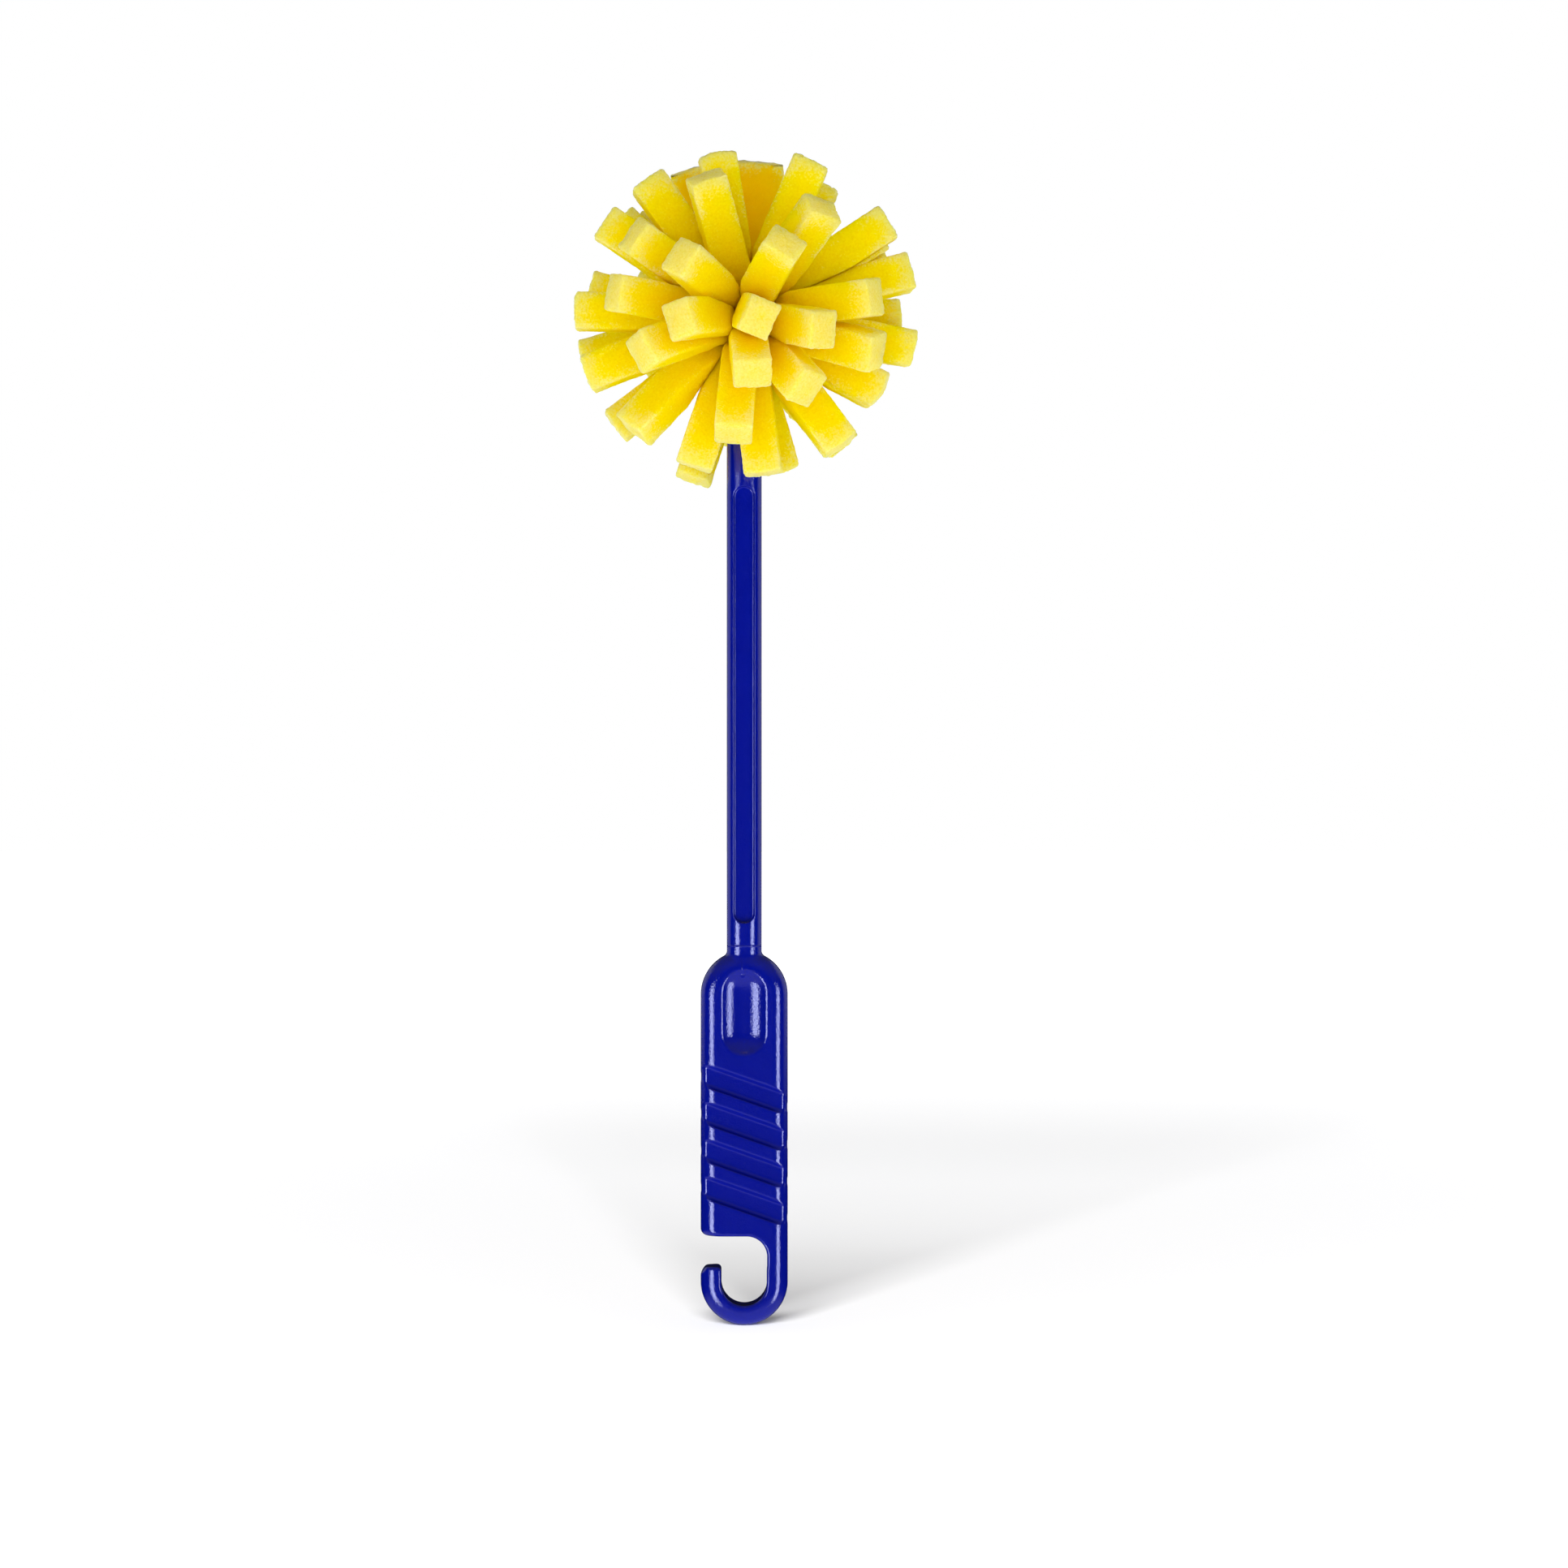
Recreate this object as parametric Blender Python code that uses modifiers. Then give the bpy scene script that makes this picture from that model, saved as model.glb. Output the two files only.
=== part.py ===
"""Foam-strip dish mop: one moulded handle and the foam strips drawn through its eye.

The mop stands on its hook with the head on top. +Z runs up the handle, the grip's
front face looks towards -Y, and the origin is under the hook on the centre line.
"""

import math

import bmesh
import bpy
import numpy as np
from mathutils.kdtree import KDTree

# Grip plate, with the hook at its foot
GRIP_WIDTH = 0.0237
GRIP_THICKNESS = 0.0102
GRIP_LENGTH = 0.1019
GRIP_EDGE_RADIUS = 0.0048

# Slot that makes the hook, open to the left
HOOK_LIMB = 0.0056
SLOT_RISE = 0.01255
SLOT_CORNER_RADIUS = 0.0055
SLOT_EDGE_RADIUS = 0.0010
HOOK_TIP_RISE = 0.00425
HOOK_TIP_SLANT = 0.0014
HOOK_TIP_ROUND = 0.0012
GRIP_CORNER_RADIUS = 0.0022

# Scooped rest for the thumb
THUMB_WIDTH = 0.0121
THUMB_LENGTH = 0.0230
THUMB_DEPTH = 0.0026
THUMB_BELOW_TOP = 0.0167

# Slanted finger grooves across the front
GROOVE_COUNT = 4
GROOVE_ABOVE_SLOT = 0.0099
GROOVE_PITCH = 0.0101
GROOVE_FLOOR = 0.0045
GROOVE_WALL_RUN = 0.0009
GROOVE_DEPTH = 0.0016
GROOVE_SLOPE_DEG = 19.3
GROOVE_SIDE_RADIUS = 0.0021

# Shaft, with one flute in front and one behind
SHAFT_WIDTH = 0.0095
SHAFT_THICKNESS = 0.0090
FLUTE_WIDTH = 0.0054
FLUTE_DEPTH = 0.0018
FLUTE_FLOOR_RADIUS = 0.0007
FLUTE_ABOVE_GRIP = 0.0076
FLUTE_BELOW_EYE = 0.0458

# Eye that holds the foam, an upright ring that opens to front and back
EYE_HEIGHT = 0.2740
EYE_RADIUS = 0.0110
EYE_BAR = 0.0038
SHAFT_TIP_TAPER = 0.0045

# Foam: a strip lies with its width along the eye's rim and bends over its thickness
STRIP_WIDTH = 0.0100
STRIP_THICKNESS = 0.0084
SLAB_WIDTH = 0.0310
HEAD_RADIUS = 0.0470
WAIST_RADIUS = 0.0096
CURL_DEG = 28
SEAT_GAP = 0.0004
EYE_GAP = 0.0005
TRAIL_SPACING = 0.0006

# Length by which a cutter passes the face that it cuts, and by which joined bodies sink in
OVERRUN = 0.0030
WELD = 0.00001

# Facets
ARC_STEPS = 10
EDGE_STEPS = 5
SHAFT_STEPS = 28
RING_STEPS = 36
BAR_STEPS = 10
MARCH_STEPS = 20
HALVINGS = 6
AIM_ROUNDS = 12

SLOT_ROOF_HEIGHT = GRIP_WIDTH / 2 + SLOT_RISE
EYE_RIM = EYE_RADIUS + EYE_BAR / 2

# Each arm of a strip: the clock angle of its tip round the eye, its lean away from the
# eye's axis, and the turn of its cut section about its own length, in degrees. The
# clock starts at the right and runs up and over, as seen from the front. A lean is
# counted from the front axis for a front arm and from the back axis for a rear arm.
STRIPS = {
    "foam_strip_centre": ((314, 8, 23), (300, 8, 10)),
    "foam_strip_inner_left": ((196, 22, 1), (192, 22, 8)),
    "foam_strip_inner_low": ((278, 24.3, -7), (275, 26, 5)),
    "foam_strip_inner_right": ((341, 28.8, 19), (343, 28, 12)),
    "foam_strip_inner_high": ((54, 24, 3), (50, 25, -8)),
    "foam_strip_inner_low_right": ((307, 37, 26), (310, 37, 10)),
    "foam_strip_inner_high_left": ((144, 25.5, 6), (143, 26, 0)),
    "foam_strip_inner_low_left": ((205, 39.5, 6), (202, 36, 6)),
    "foam_strip_mid_low": ((265.5, 47, 1), (262, 40, -4)),
    "foam_strip_mid_low_right": ((341.5, 53.5, 25), (344, 51, 4)),
    "foam_strip_mid_right": ((4, 48.7, 5), (3.5, 66.5, -6)),
    "foam_strip_mid_left": ((174, 47.5, -6), (166.5, 69, 5)),
    "foam_strip_mid_high_right": ((51, 46, 40), (50, 46, 3)),
    "foam_strip_mid_high_left": ((147, 48, -5), (144, 42, 6)),
    "foam_strip_rim_one_oclock": ((66, 73, 0), (61, 71, 3)),
    "foam_strip_rim_two_oclock": ((33, 80, 3), (34, 72, 0)),
    "foam_strip_rim_half_past_two": ((15, 82, -3), (24.5, 66, 4)),
    "foam_strip_rim_half_past_three": ((349, 82, 2), (351.5, 74, -4)),
    "foam_strip_rim_four_oclock": ((331, 74, 4), (333, 67, 0)),
    "foam_strip_rim_five_oclock": ((306, 69, -8), (309, 63, 7)),
    "foam_strip_rim_six_oclock": ((277, 71, 4), (284.5, 63, -3)),
    "foam_strip_rim_seven_oclock": ((252, 71, -4), (252, 82, 3)),
    "foam_strip_rim_half_past_seven": ((227, 68, 32), (218.5, 76, 0)),
    "foam_strip_rim_half_past_eight": ((201, 76, 3), (196, 65, 8)),
    "foam_strip_rim_nine_oclock": ((179, 76, 1), (193, 77, -9)),
    "foam_strip_rim_ten_oclock": ((147, 73, 0), (140.5, 72, -3)),
    "foam_strip_rim_eleven_oclock": ((126, 74, 5), (137, 63, 12)),
}

# The piece that the cutter left whole: two arms in front, one wide slab behind
SLAB_NAME = "foam_slab_uncut"
SLAB_FRONT_ARMS = ((106, 52.5, 8), (99.5, 73, 3))
SLAB_REAR_ARM = (96.5, 71, 0)
SLAB_REAR_REACH_SHARE = 1.02
SLAB_END_BOW = 0.0030

# Shares of a front arm's section where it grows out of the slab
SLAB_ROOT_SHARE = 0.7
SLAB_NECK_SHARE = 0.9

# Shares of the head's radius that single arms reach, where they differ from the rest
REACH_SHARES = {
    "foam_slab_uncut": 0.978,
    "foam_strip_rim_four_oclock": 0.955,
    "foam_strip_rim_five_oclock": 1.02,
    "foam_strip_rim_six_oclock": 0.985,
    "foam_strip_rim_seven_oclock": 0.98,
    "foam_strip_rim_eleven_oclock": 0.985,
}

# Outline of a strip's section, in half widths: across the bend, then along the rim
STRIP_OUTLINE_SHARES = ((1, 0), (1, 1), (0, 1), (-1, 1), (-1, 0), (-1, -1), (0, -1), (1, -1))
SLAB_OUTLINE_SHARES = (
    (1, 0), (1, 0.28), (1, 0.56), (1, 0.78), (1, 1), (0, 1), (-1, 1), (-1, 0.5),
    (-1, 0), (-1, -0.5), (-1, -1), (0, -1), (1, -1), (1, -0.78), (1, -0.56), (1, -0.28),
)

# Stations along an arm: shares of its bend, of the way past the bar, and of the rest
BEND_SHARES = (0.34, 0.67, 1.0)
PAST_BAR_SHARES = (0.35, 0.7, 1.0)
STRAIGHT_SHARES = (0.11, 0.25, 0.45, 0.7, 1.0)


def clear_scene():
    for thing in list(bpy.data.objects):
        bpy.data.objects.remove(thing, do_unlink=True)


def new_collection(name):
    group = bpy.data.collections.new(name)
    bpy.context.scene.collection.children.link(group)
    return group


def plain_material(name, colour, roughness):
    made = bpy.data.materials.new(name)
    made.use_nodes = True
    shader = made.node_tree.nodes["Principled BSDF"]
    shader.inputs["Base Color"].default_value = (*colour, 1.0)
    shader.inputs["Roughness"].default_value = roughness
    shader.inputs["Metallic"].default_value = 0.0
    return made


def hide_cutter(cutter):
    cutter.hide_render = True
    cutter.display_type = "WIRE"


def mesh_object(name, shape, group):
    """Turns a finished bmesh into an object of its own."""
    bmesh.ops.recalc_face_normals(shape, faces=shape.faces)
    mesh = bpy.data.meshes.new(name)
    shape.to_mesh(mesh)
    shape.free()
    made = bpy.data.objects.new(name, mesh)
    group.objects.link(made)
    return made


def settle_modifiers(thing):
    """Replaces an object's mesh by its evaluated one and drops the modifiers."""
    evaluated = thing.evaluated_get(bpy.context.evaluated_depsgraph_get())
    thing.data = bpy.data.meshes.new_from_object(evaluated)
    thing.modifiers.clear()


def extrude_outline(name, points, half_thickness, group):
    """A flat outline in X and Z, given its thickness along Y."""
    curve = bpy.data.curves.new(name, "CURVE")
    curve.dimensions = "2D"
    curve.fill_mode = "BOTH"
    curve.extrude = half_thickness
    line = curve.splines.new("POLY")
    line.points.add(len(points) - 1)
    for point, (x, z) in zip(line.points, points):
        point.co = (x, z, 0.0, 1.0)
    line.use_cyclic_u = True
    drawn = bpy.data.objects.new(name + "_outline", curve)
    drawn.rotation_euler = (math.radians(90), 0.0, 0.0)
    group.objects.link(drawn)
    bpy.context.view_layer.update()
    mesh = bpy.data.meshes.new_from_object(drawn.evaluated_get(bpy.context.evaluated_depsgraph_get()))
    mesh.transform(drawn.matrix_world)
    bpy.data.objects.remove(drawn, do_unlink=True)
    shape = bmesh.new()
    shape.from_mesh(mesh)
    bmesh.ops.remove_doubles(shape, verts=shape.verts, dist=WELD)
    flat = math.radians(0.5)
    bmesh.ops.dissolve_limit(shape, angle_limit=flat, verts=shape.verts, edges=shape.edges)
    return mesh_object(name, shape, group)


def arc(centre, radius, first_deg, last_deg, steps=ARC_STEPS):
    """Points of an arc in the X-Z plane, both ends included."""
    angles = [math.radians(first_deg + (last_deg - first_deg) * i / steps) for i in range(steps + 1)]
    return [(centre[0] + radius * math.cos(a), centre[1] + radius * math.sin(a)) for a in angles]


def loft(rings):
    """Skins a list of rings of equal count and closes both ends."""
    shape = bmesh.new()
    rows = [[shape.verts.new(point) for point in ring] for ring in rings]
    for low, high in zip(rows, rows[1:]):
        for i in range(len(low)):
            j = (i + 1) % len(low)
            shape.faces.new((low[i], low[j], high[j], high[i]))
    shape.faces.new(rows[0])
    shape.faces.new(rows[-1])
    return shape


def boolean(target, other, operation):
    step = target.modifiers.new(other.name, "BOOLEAN")
    step.operation = operation
    step.solver = "EXACT"
    step.object = other


def tidy_cuts(thing):
    """Merges the slivers that the cuts leave where they meet."""
    shape = bmesh.new()
    shape.from_mesh(thing.data)
    bmesh.ops.remove_doubles(shape, verts=shape.verts, dist=WELD)
    bmesh.ops.dissolve_degenerate(shape, edges=shape.edges, dist=WELD)
    shape.to_mesh(thing.data)
    shape.free()


def grip_blank(group):
    """Plate with round ends and full round edges, before anything is cut from it."""
    radius = GRIP_WIDTH / 2
    points = arc((0.0, radius), radius, 180, 360, 2 * ARC_STEPS)
    points += arc((0.0, GRIP_LENGTH - radius), radius, 0, 180, 2 * ARC_STEPS)
    blank = extrude_outline("handle", points, GRIP_THICKNESS / 2, group)
    round_edges = blank.modifiers.new("round_edges", "BEVEL")
    round_edges.width = GRIP_EDGE_RADIUS
    round_edges.segments = EDGE_STEPS
    round_edges.limit_method = "ANGLE"
    round_edges.angle_limit = math.radians(60)
    settle_modifiers(blank)
    return blank


def slot_outline(flare):
    """The hook's slot and its mouth, grown outwards into the plastic by the flare."""
    left = -GRIP_WIDTH / 2 - OVERRUN
    inner = GRIP_WIDTH / 2 - HOOK_LIMB
    floor_centre = (0.0, GRIP_WIDTH / 2)
    roof = SLOT_ROOF_HEIGHT + flare
    corner = SLOT_CORNER_RADIUS + flare
    corner_centre = (inner + flare - corner, roof - corner)
    foot = GRIP_CORNER_RADIUS - flare
    foot_centre = (-GRIP_WIDTH / 2 + GRIP_CORNER_RADIUS, SLOT_ROOF_HEIGHT + GRIP_CORNER_RADIUS)
    tip_top = GRIP_WIDTH / 2 + HOOK_TIP_RISE - flare
    tip_round = HOOK_TIP_ROUND
    tip_centre = (-inner - flare - tip_round, tip_top - tip_round)
    slant_end = -GRIP_WIDTH / 2 + HOOK_TIP_SLANT
    points = arc(floor_centre, inner + flare, 180, 360, 2 * ARC_STEPS)
    points += arc(corner_centre, corner, 0, 90)
    points += arc(foot_centre, foot, 270, 180, ARC_STEPS // 2)
    points += [(left, foot_centre[1]), (left, tip_top - HOOK_TIP_SLANT)]
    points += [(-GRIP_WIDTH / 2, tip_top - HOOK_TIP_SLANT), (slant_end, tip_top)]
    points += arc(tip_centre, tip_round, 90, 0, ARC_STEPS // 2)
    return points


def slot_cutter(group):
    """The slot's cutter, flared at both faces so that the hook's edges come out rounded."""
    face = GRIP_THICKNESS / 2
    layers = []
    for i in range(EDGE_STEPS + 1):
        angle = math.radians(90 * i / EDGE_STEPS)
        flare = SLOT_EDGE_RADIUS * (1 - math.cos(angle))
        depth = face - SLOT_EDGE_RADIUS + SLOT_EDGE_RADIUS * math.sin(angle)
        layers.append((depth, flare))
    layers.append((face + OVERRUN, SLOT_EDGE_RADIUS))
    layers = [(-depth, flare) for depth, flare in reversed(layers)] + layers
    rings = [[(x, depth, z) for x, z in slot_outline(flare)] for depth, flare in layers]
    cutter = mesh_object("cut_slot", loft(rings), group)
    hide_cutter(cutter)
    return cutter


def thumb_cutter(group):
    """A capsule that sinks into the front face by the scoop's depth."""
    half = THUMB_WIDTH / 2
    radius = (half * half + THUMB_DEPTH * THUMB_DEPTH) / (2 * THUMB_DEPTH)
    reach = THUMB_LENGTH / 2 - half
    profile = [(radius * math.sin(a), reach + radius * math.cos(a))
               for a in (math.radians(90 * i / ARC_STEPS) for i in range(ARC_STEPS + 1))]
    profile += [(x, -z) for x, z in reversed(profile)]
    shape = bmesh.new()
    verts = [shape.verts.new((x, 0.0, z)) for x, z in profile]
    for low, high in zip(verts, verts[1:]):
        shape.edges.new((low, high))
    cutter = mesh_object("cut_thumb_rest", shape, group)
    turned = cutter.modifiers.new("turned", "SCREW")
    turned.steps = SHAFT_STEPS
    turned.render_steps = SHAFT_STEPS
    turned.use_merge_vertices = True
    turned.merge_threshold = WELD
    cutter.location = (0.0, -GRIP_THICKNESS / 2 - radius + THUMB_DEPTH, GRIP_LENGTH - THUMB_BELOW_TOP)
    hide_cutter(cutter)
    return cutter


def groove_sides():
    """Places across the grip, and how far a groove's floor has dropped at each of them."""
    flat_end = GRIP_WIDTH / 2 - GROOVE_SIDE_RADIUS
    turn = [math.radians(90 * i / EDGE_STEPS) for i in range(EDGE_STEPS + 1)]
    side = [(flat_end + GROOVE_SIDE_RADIUS * math.sin(a), GROOVE_SIDE_RADIUS * (1 - math.cos(a)))
            for a in turn]
    side.append((GRIP_WIDTH / 2 + OVERRUN, GROOVE_SIDE_RADIUS))
    return [(-x, drop) for x, drop in reversed(side)] + side


def groove_cutter(number, group):
    """One slanted groove with sloping walls, whose floor rounds off into the grip's sides."""
    face = -GRIP_THICKNESS / 2
    slope = math.tan(math.radians(GROOVE_SLOPE_DEG))
    mouth = GROOVE_FLOOR / 2 + GROOVE_WALL_RUN * (1 + OVERRUN / GROOVE_DEPTH)
    rings = []
    for x, drop in groove_sides():
        floor_depth = face + GROOVE_DEPTH + drop
        foot = GROOVE_FLOOR / 2 - drop * GROOVE_WALL_RUN / GROOVE_DEPTH
        outside = face - OVERRUN
        corners = ((floor_depth, foot), (floor_depth, -foot), (outside, -mouth), (outside, mouth))
        rings.append([(x, y, z - x * slope) for y, z in corners])
    cutter = mesh_object(f"cut_groove_{number + 1}", loft(rings), group)
    cutter.location = (0.0, 0.0, SLOT_ROOF_HEIGHT + GROOVE_ABOVE_SLOT + GROOVE_PITCH * number)
    hide_cutter(cutter)
    return cutter


def shaft_half_thickness(height):
    """Half the shaft's thickness: full below, drawn down to the ring's bar at the eye."""
    top = EYE_HEIGHT - EYE_RIM
    share = min(max((top - height) / SHAFT_TIP_TAPER, 0.0), 1.0)
    return EYE_BAR / 2 + (SHAFT_THICKNESS / 2 - EYE_BAR / 2) * share


def shaft_blank(group):
    """Oval rod from inside the grip's shoulder up to the eye."""
    top = EYE_HEIGHT - EYE_RIM
    foot = GRIP_LENGTH - GRIP_WIDTH / 2
    heights = (foot, top - SHAFT_TIP_TAPER, top - SHAFT_TIP_TAPER / 2, top)
    rings = []
    for height in heights:
        thick = shaft_half_thickness(height)
        turn = [math.tau * i / SHAFT_STEPS for i in range(SHAFT_STEPS)]
        rings.append([(SHAFT_WIDTH / 2 * math.cos(a), thick * math.sin(a), height) for a in turn])
    return mesh_object("shaft_blank", loft(rings), group)


def eye_blank(group):
    """Round bar bent into the upright ring that the foam is drawn through."""
    bpy.ops.mesh.primitive_torus_add(
        major_radius=EYE_RIM,
        minor_radius=EYE_BAR / 2,
        major_segments=RING_STEPS,
        minor_segments=BAR_STEPS,
        location=(0.0, 0.0, EYE_HEIGHT),
        rotation=(math.radians(90), 0.0, 0.0),
    )
    ring = bpy.context.active_object
    ring.name = "eye_blank"
    for owner in list(ring.users_collection):
        owner.objects.unlink(ring)
    group.objects.link(ring)
    return ring


def flute_cutter(name, side, group):
    """Long flute with round ends and a floor whose edges are filleted."""
    radius = FLUTE_WIDTH / 2
    points = arc((0.0, GRIP_LENGTH + FLUTE_ABOVE_GRIP + radius), radius, 180, 360)
    points += arc((0.0, EYE_HEIGHT - FLUTE_BELOW_EYE - radius), radius, 0, 180)
    half = (FLUTE_DEPTH + OVERRUN) / 2
    cutter = extrude_outline(name, points, half, group)
    fillet = cutter.modifiers.new("floor_fillet", "BEVEL")
    fillet.width = FLUTE_FLOOR_RADIUS
    fillet.segments = EDGE_STEPS // 2
    fillet.limit_method = "ANGLE"
    fillet.angle_limit = math.radians(60)
    floor = SHAFT_THICKNESS / 2 - FLUTE_DEPTH
    cutter.location = (0.0, side * (floor + half), 0.0)
    hide_cutter(cutter)
    return cutter


def build_handle(parts, cutters, plastic):
    """Grip, hook, shaft and eye in one moulding."""
    handle = grip_blank(parts)
    joined = [shaft_blank(cutters), eye_blank(cutters)]
    for piece in joined:
        hide_cutter(piece)
        boolean(handle, piece, "UNION")
    cuts = [slot_cutter(cutters), thumb_cutter(cutters)]
    cuts += [groove_cutter(number, cutters) for number in range(GROOVE_COUNT)]
    cuts += [flute_cutter("cut_flute_front", -1, cutters), flute_cutter("cut_flute_back", 1, cutters)]
    for cutter in cuts:
        boolean(handle, cutter, "DIFFERENCE")
    bpy.context.view_layer.update()
    settle_modifiers(handle)
    tidy_cuts(handle)
    handle.data.materials.clear()
    handle.data.materials.append(plastic)
    handle.data.shade_smooth()
    handle.data.set_sharp_from_angle(angle=math.radians(32))
    return handle


def unit(vector):
    return vector / np.linalg.norm(vector)


def eased(share):
    share = min(max(share, 0.0), 1.0)
    return share * share * (3 - 2 * share)


def on_clock(clock_deg):
    """Unit vector from the eye's centre towards a clock angle."""
    clock = math.radians(clock_deg)
    return np.array((math.cos(clock), 0.0, math.sin(clock)))


def waist_of(clock_deg, lean_deg):
    """Where a strip passes the eye: strips that lean more lie nearer the rim, and all
    have a like share of the eye's area."""
    return WAIST_RADIUS * math.sqrt(1 - math.cos(math.radians(lean_deg))) * on_clock(clock_deg)


class Arm:
    """Half of a strip: it bends tightly round the eye's rim, then curls gently to its tip."""

    def __init__(self, waist, clock_lean_turn, side, reach, half_sizes, family):
        clock_deg, lean_deg, turn_deg = clock_lean_turn
        lean = math.radians(lean_deg)
        self.through = np.array((0.0, float(side), 0.0))
        self.waist = waist
        self.side = side
        self.family = family
        self.half_sizes = half_sizes
        self.turn = math.radians(turn_deg)
        tip = reach * (math.sin(lean) * on_clock(clock_deg) + math.cos(lean) * self.through)
        self.radius = EYE_RIM - np.linalg.norm(waist)
        self.aim(tip - waist)
        self.length = self.bend_length + self.free_length
        heading = self.bend + self.curl
        self.heading = math.cos(heading) * self.through + math.sin(heading) * self.outward
        counts = int(self.length / TRAIL_SPACING)
        self.lengths = [self.length * i / counts for i in range(counts + 1)]
        self.lines = [self.line_at(spread) for spread in self.side_spreads()]

    def side_spreads(self):
        """Offsets of the lines that hold an arm's room: one line, or three in a wide slab."""
        spread = self.half_sizes[1] - STRIP_WIDTH / 2
        return (0.0, spread, -spread) if spread > STRIP_WIDTH / 2 else (0.0,)

    def line_at(self, spread):
        """A line that starts at the waist and fans out to a sideways spread."""
        points = []
        for length in self.lengths:
            point, _, along_rim = self.place(length)
            points.append(point + along_rim * spread * eased(length / (EYE_RIM + EYE_RADIUS)))
        return np.array(points)

    def aim(self, chord):
        """Works out the tight bend and the curl after it that lead to the tip."""
        rise = float(chord @ self.through)
        self.outward = unit(chord - self.through * rise)
        swing = float(chord @ self.outward)
        self.bend = math.atan2(swing, rise)
        for _ in range(AIM_ROUNDS):
            rest_swing = swing - self.radius * (1 - math.cos(self.bend))
            rest_rise = rise - self.radius * math.sin(self.bend)
            toward = math.atan2(rest_swing, rest_rise)
            self.curl = min(math.radians(CURL_DEG), 2 * toward)
            self.bend = toward - self.curl / 2
        self.bend_length = self.radius * self.bend
        self.free_length = math.hypot(rest_swing, rest_rise) / np.sinc(self.curl / math.tau)

    def place(self, length):
        """Position, the section's axis across the bend, and the one along the rim."""
        angle = min(length / self.radius, self.bend)
        over = max(length - self.bend_length, 0.0)
        curled = self.curl * over / self.free_length
        chord = over * np.sinc(curled / math.tau)
        toward = self.bend + curled / 2
        rise = self.radius * math.sin(angle) + chord * math.cos(toward)
        swing = self.radius * (1 - math.cos(angle)) + chord * math.sin(toward)
        heading = angle + curled
        across = math.cos(heading) * self.outward - math.sin(heading) * self.through
        along_rim = np.array((-self.outward[2], 0.0, self.outward[0]))
        return self.waist + rise * self.through + swing * self.outward, across, along_rim

    def turned_axes(self, length, clock_start):
        """The section's axes, turned from the waist's own clock to the arm's turn."""
        point, across, along_rim = self.place(length)
        own = math.atan2(self.outward[2], self.outward[0])
        start = (clock_start - own + math.pi) % math.tau - math.pi
        share = eased(length / (EYE_RIM + EYE_RADIUS))
        turn = start * (1 - share) + self.turn * share
        first = math.cos(turn) * across + math.sin(turn) * along_rim
        second = math.cos(turn) * along_rim - math.sin(turn) * across
        return point, first, second


def point_tree(points):
    tree = KDTree(len(points))
    for number, point in enumerate(points):
        tree.insert(point, number)
    tree.balance()
    return tree


def give_bounds(arms):
    """Gives each arm the middle lines that it keeps to itself and those it yields to."""
    for arm in arms:
        own = list(arm.lines)
        foreign = []
        near_waist = int(EYE_BAR / TRAIL_SPACING)
        for other in arms:
            if other is arm:
                continue
            if other.family == arm.family and other.side != arm.side:
                own += [line[:near_waist] for line in other.lines]
                foreign += [line[near_waist:] for line in other.lines]
            else:
                foreign += other.lines
        arm.own_line = point_tree(np.concatenate(own))
        arm.other_lines = point_tree(np.concatenate(foreign))


def is_free(arm, point):
    """True where a point is the arm's own: nearer to its middle line than to any other,
    and clear of the ring and of the shaft."""
    if arm.other_lines.find(point)[2] < arm.own_line.find(point)[2] + SEAT_GAP:
        return False
    off_core = math.hypot(math.hypot(point[0], point[2]) - EYE_RIM, point[1])
    if off_core < EYE_BAR / 2 + EYE_GAP:
        return False
    if point[2] < -EYE_RADIUS and abs(point[0]) < (SHAFT_WIDTH + STRIP_WIDTH) / 2:
        thick = shaft_half_thickness(EYE_HEIGHT + point[2]) + EYE_GAP
        return point[1] * arm.side > thick
    return True


def reach_share(arm, point, offset):
    """The largest share of an offset that stays in the arm's own room."""
    step = 1 / MARCH_STEPS
    share = 0.0
    while share + step <= 1.0 and is_free(arm, point + (share + step) * offset):
        share += step
    for _ in range(HALVINGS):
        step /= 2
        if share + step <= 1.0 and is_free(arm, point + (share + step) * offset):
            share += step
    return share


def section(arm, length, clock_start, outline_shares):
    """One ring of a strip: its cut section, pressed in where something is in the way."""
    point, first, second = arm.turned_axes(length, clock_start)
    ring = []
    for share_first, share_second in outline_shares:
        offset = share_first * arm.half_sizes[0] * first + share_second * arm.half_sizes[1] * second
        ring.append(point + reach_share(arm, point, offset) * offset)
    return ring


def arm_stations(arm):
    guard = EYE_BAR / 2 + EYE_GAP
    past_bar = arm.bend_length + guard
    stations = [arm.bend_length * share for share in BEND_SHARES]
    stations += [arm.bend_length + guard * share for share in PAST_BAR_SHARES]
    return stations + [past_bar + (arm.length - past_bar) * share for share in STRAIGHT_SHARES]


def arm_rings(arm, clock_start, outline_shares):
    """Rings from just past the waist to the tip."""
    return [section(arm, s, clock_start, outline_shares) for s in arm_stations(arm)]


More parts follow.
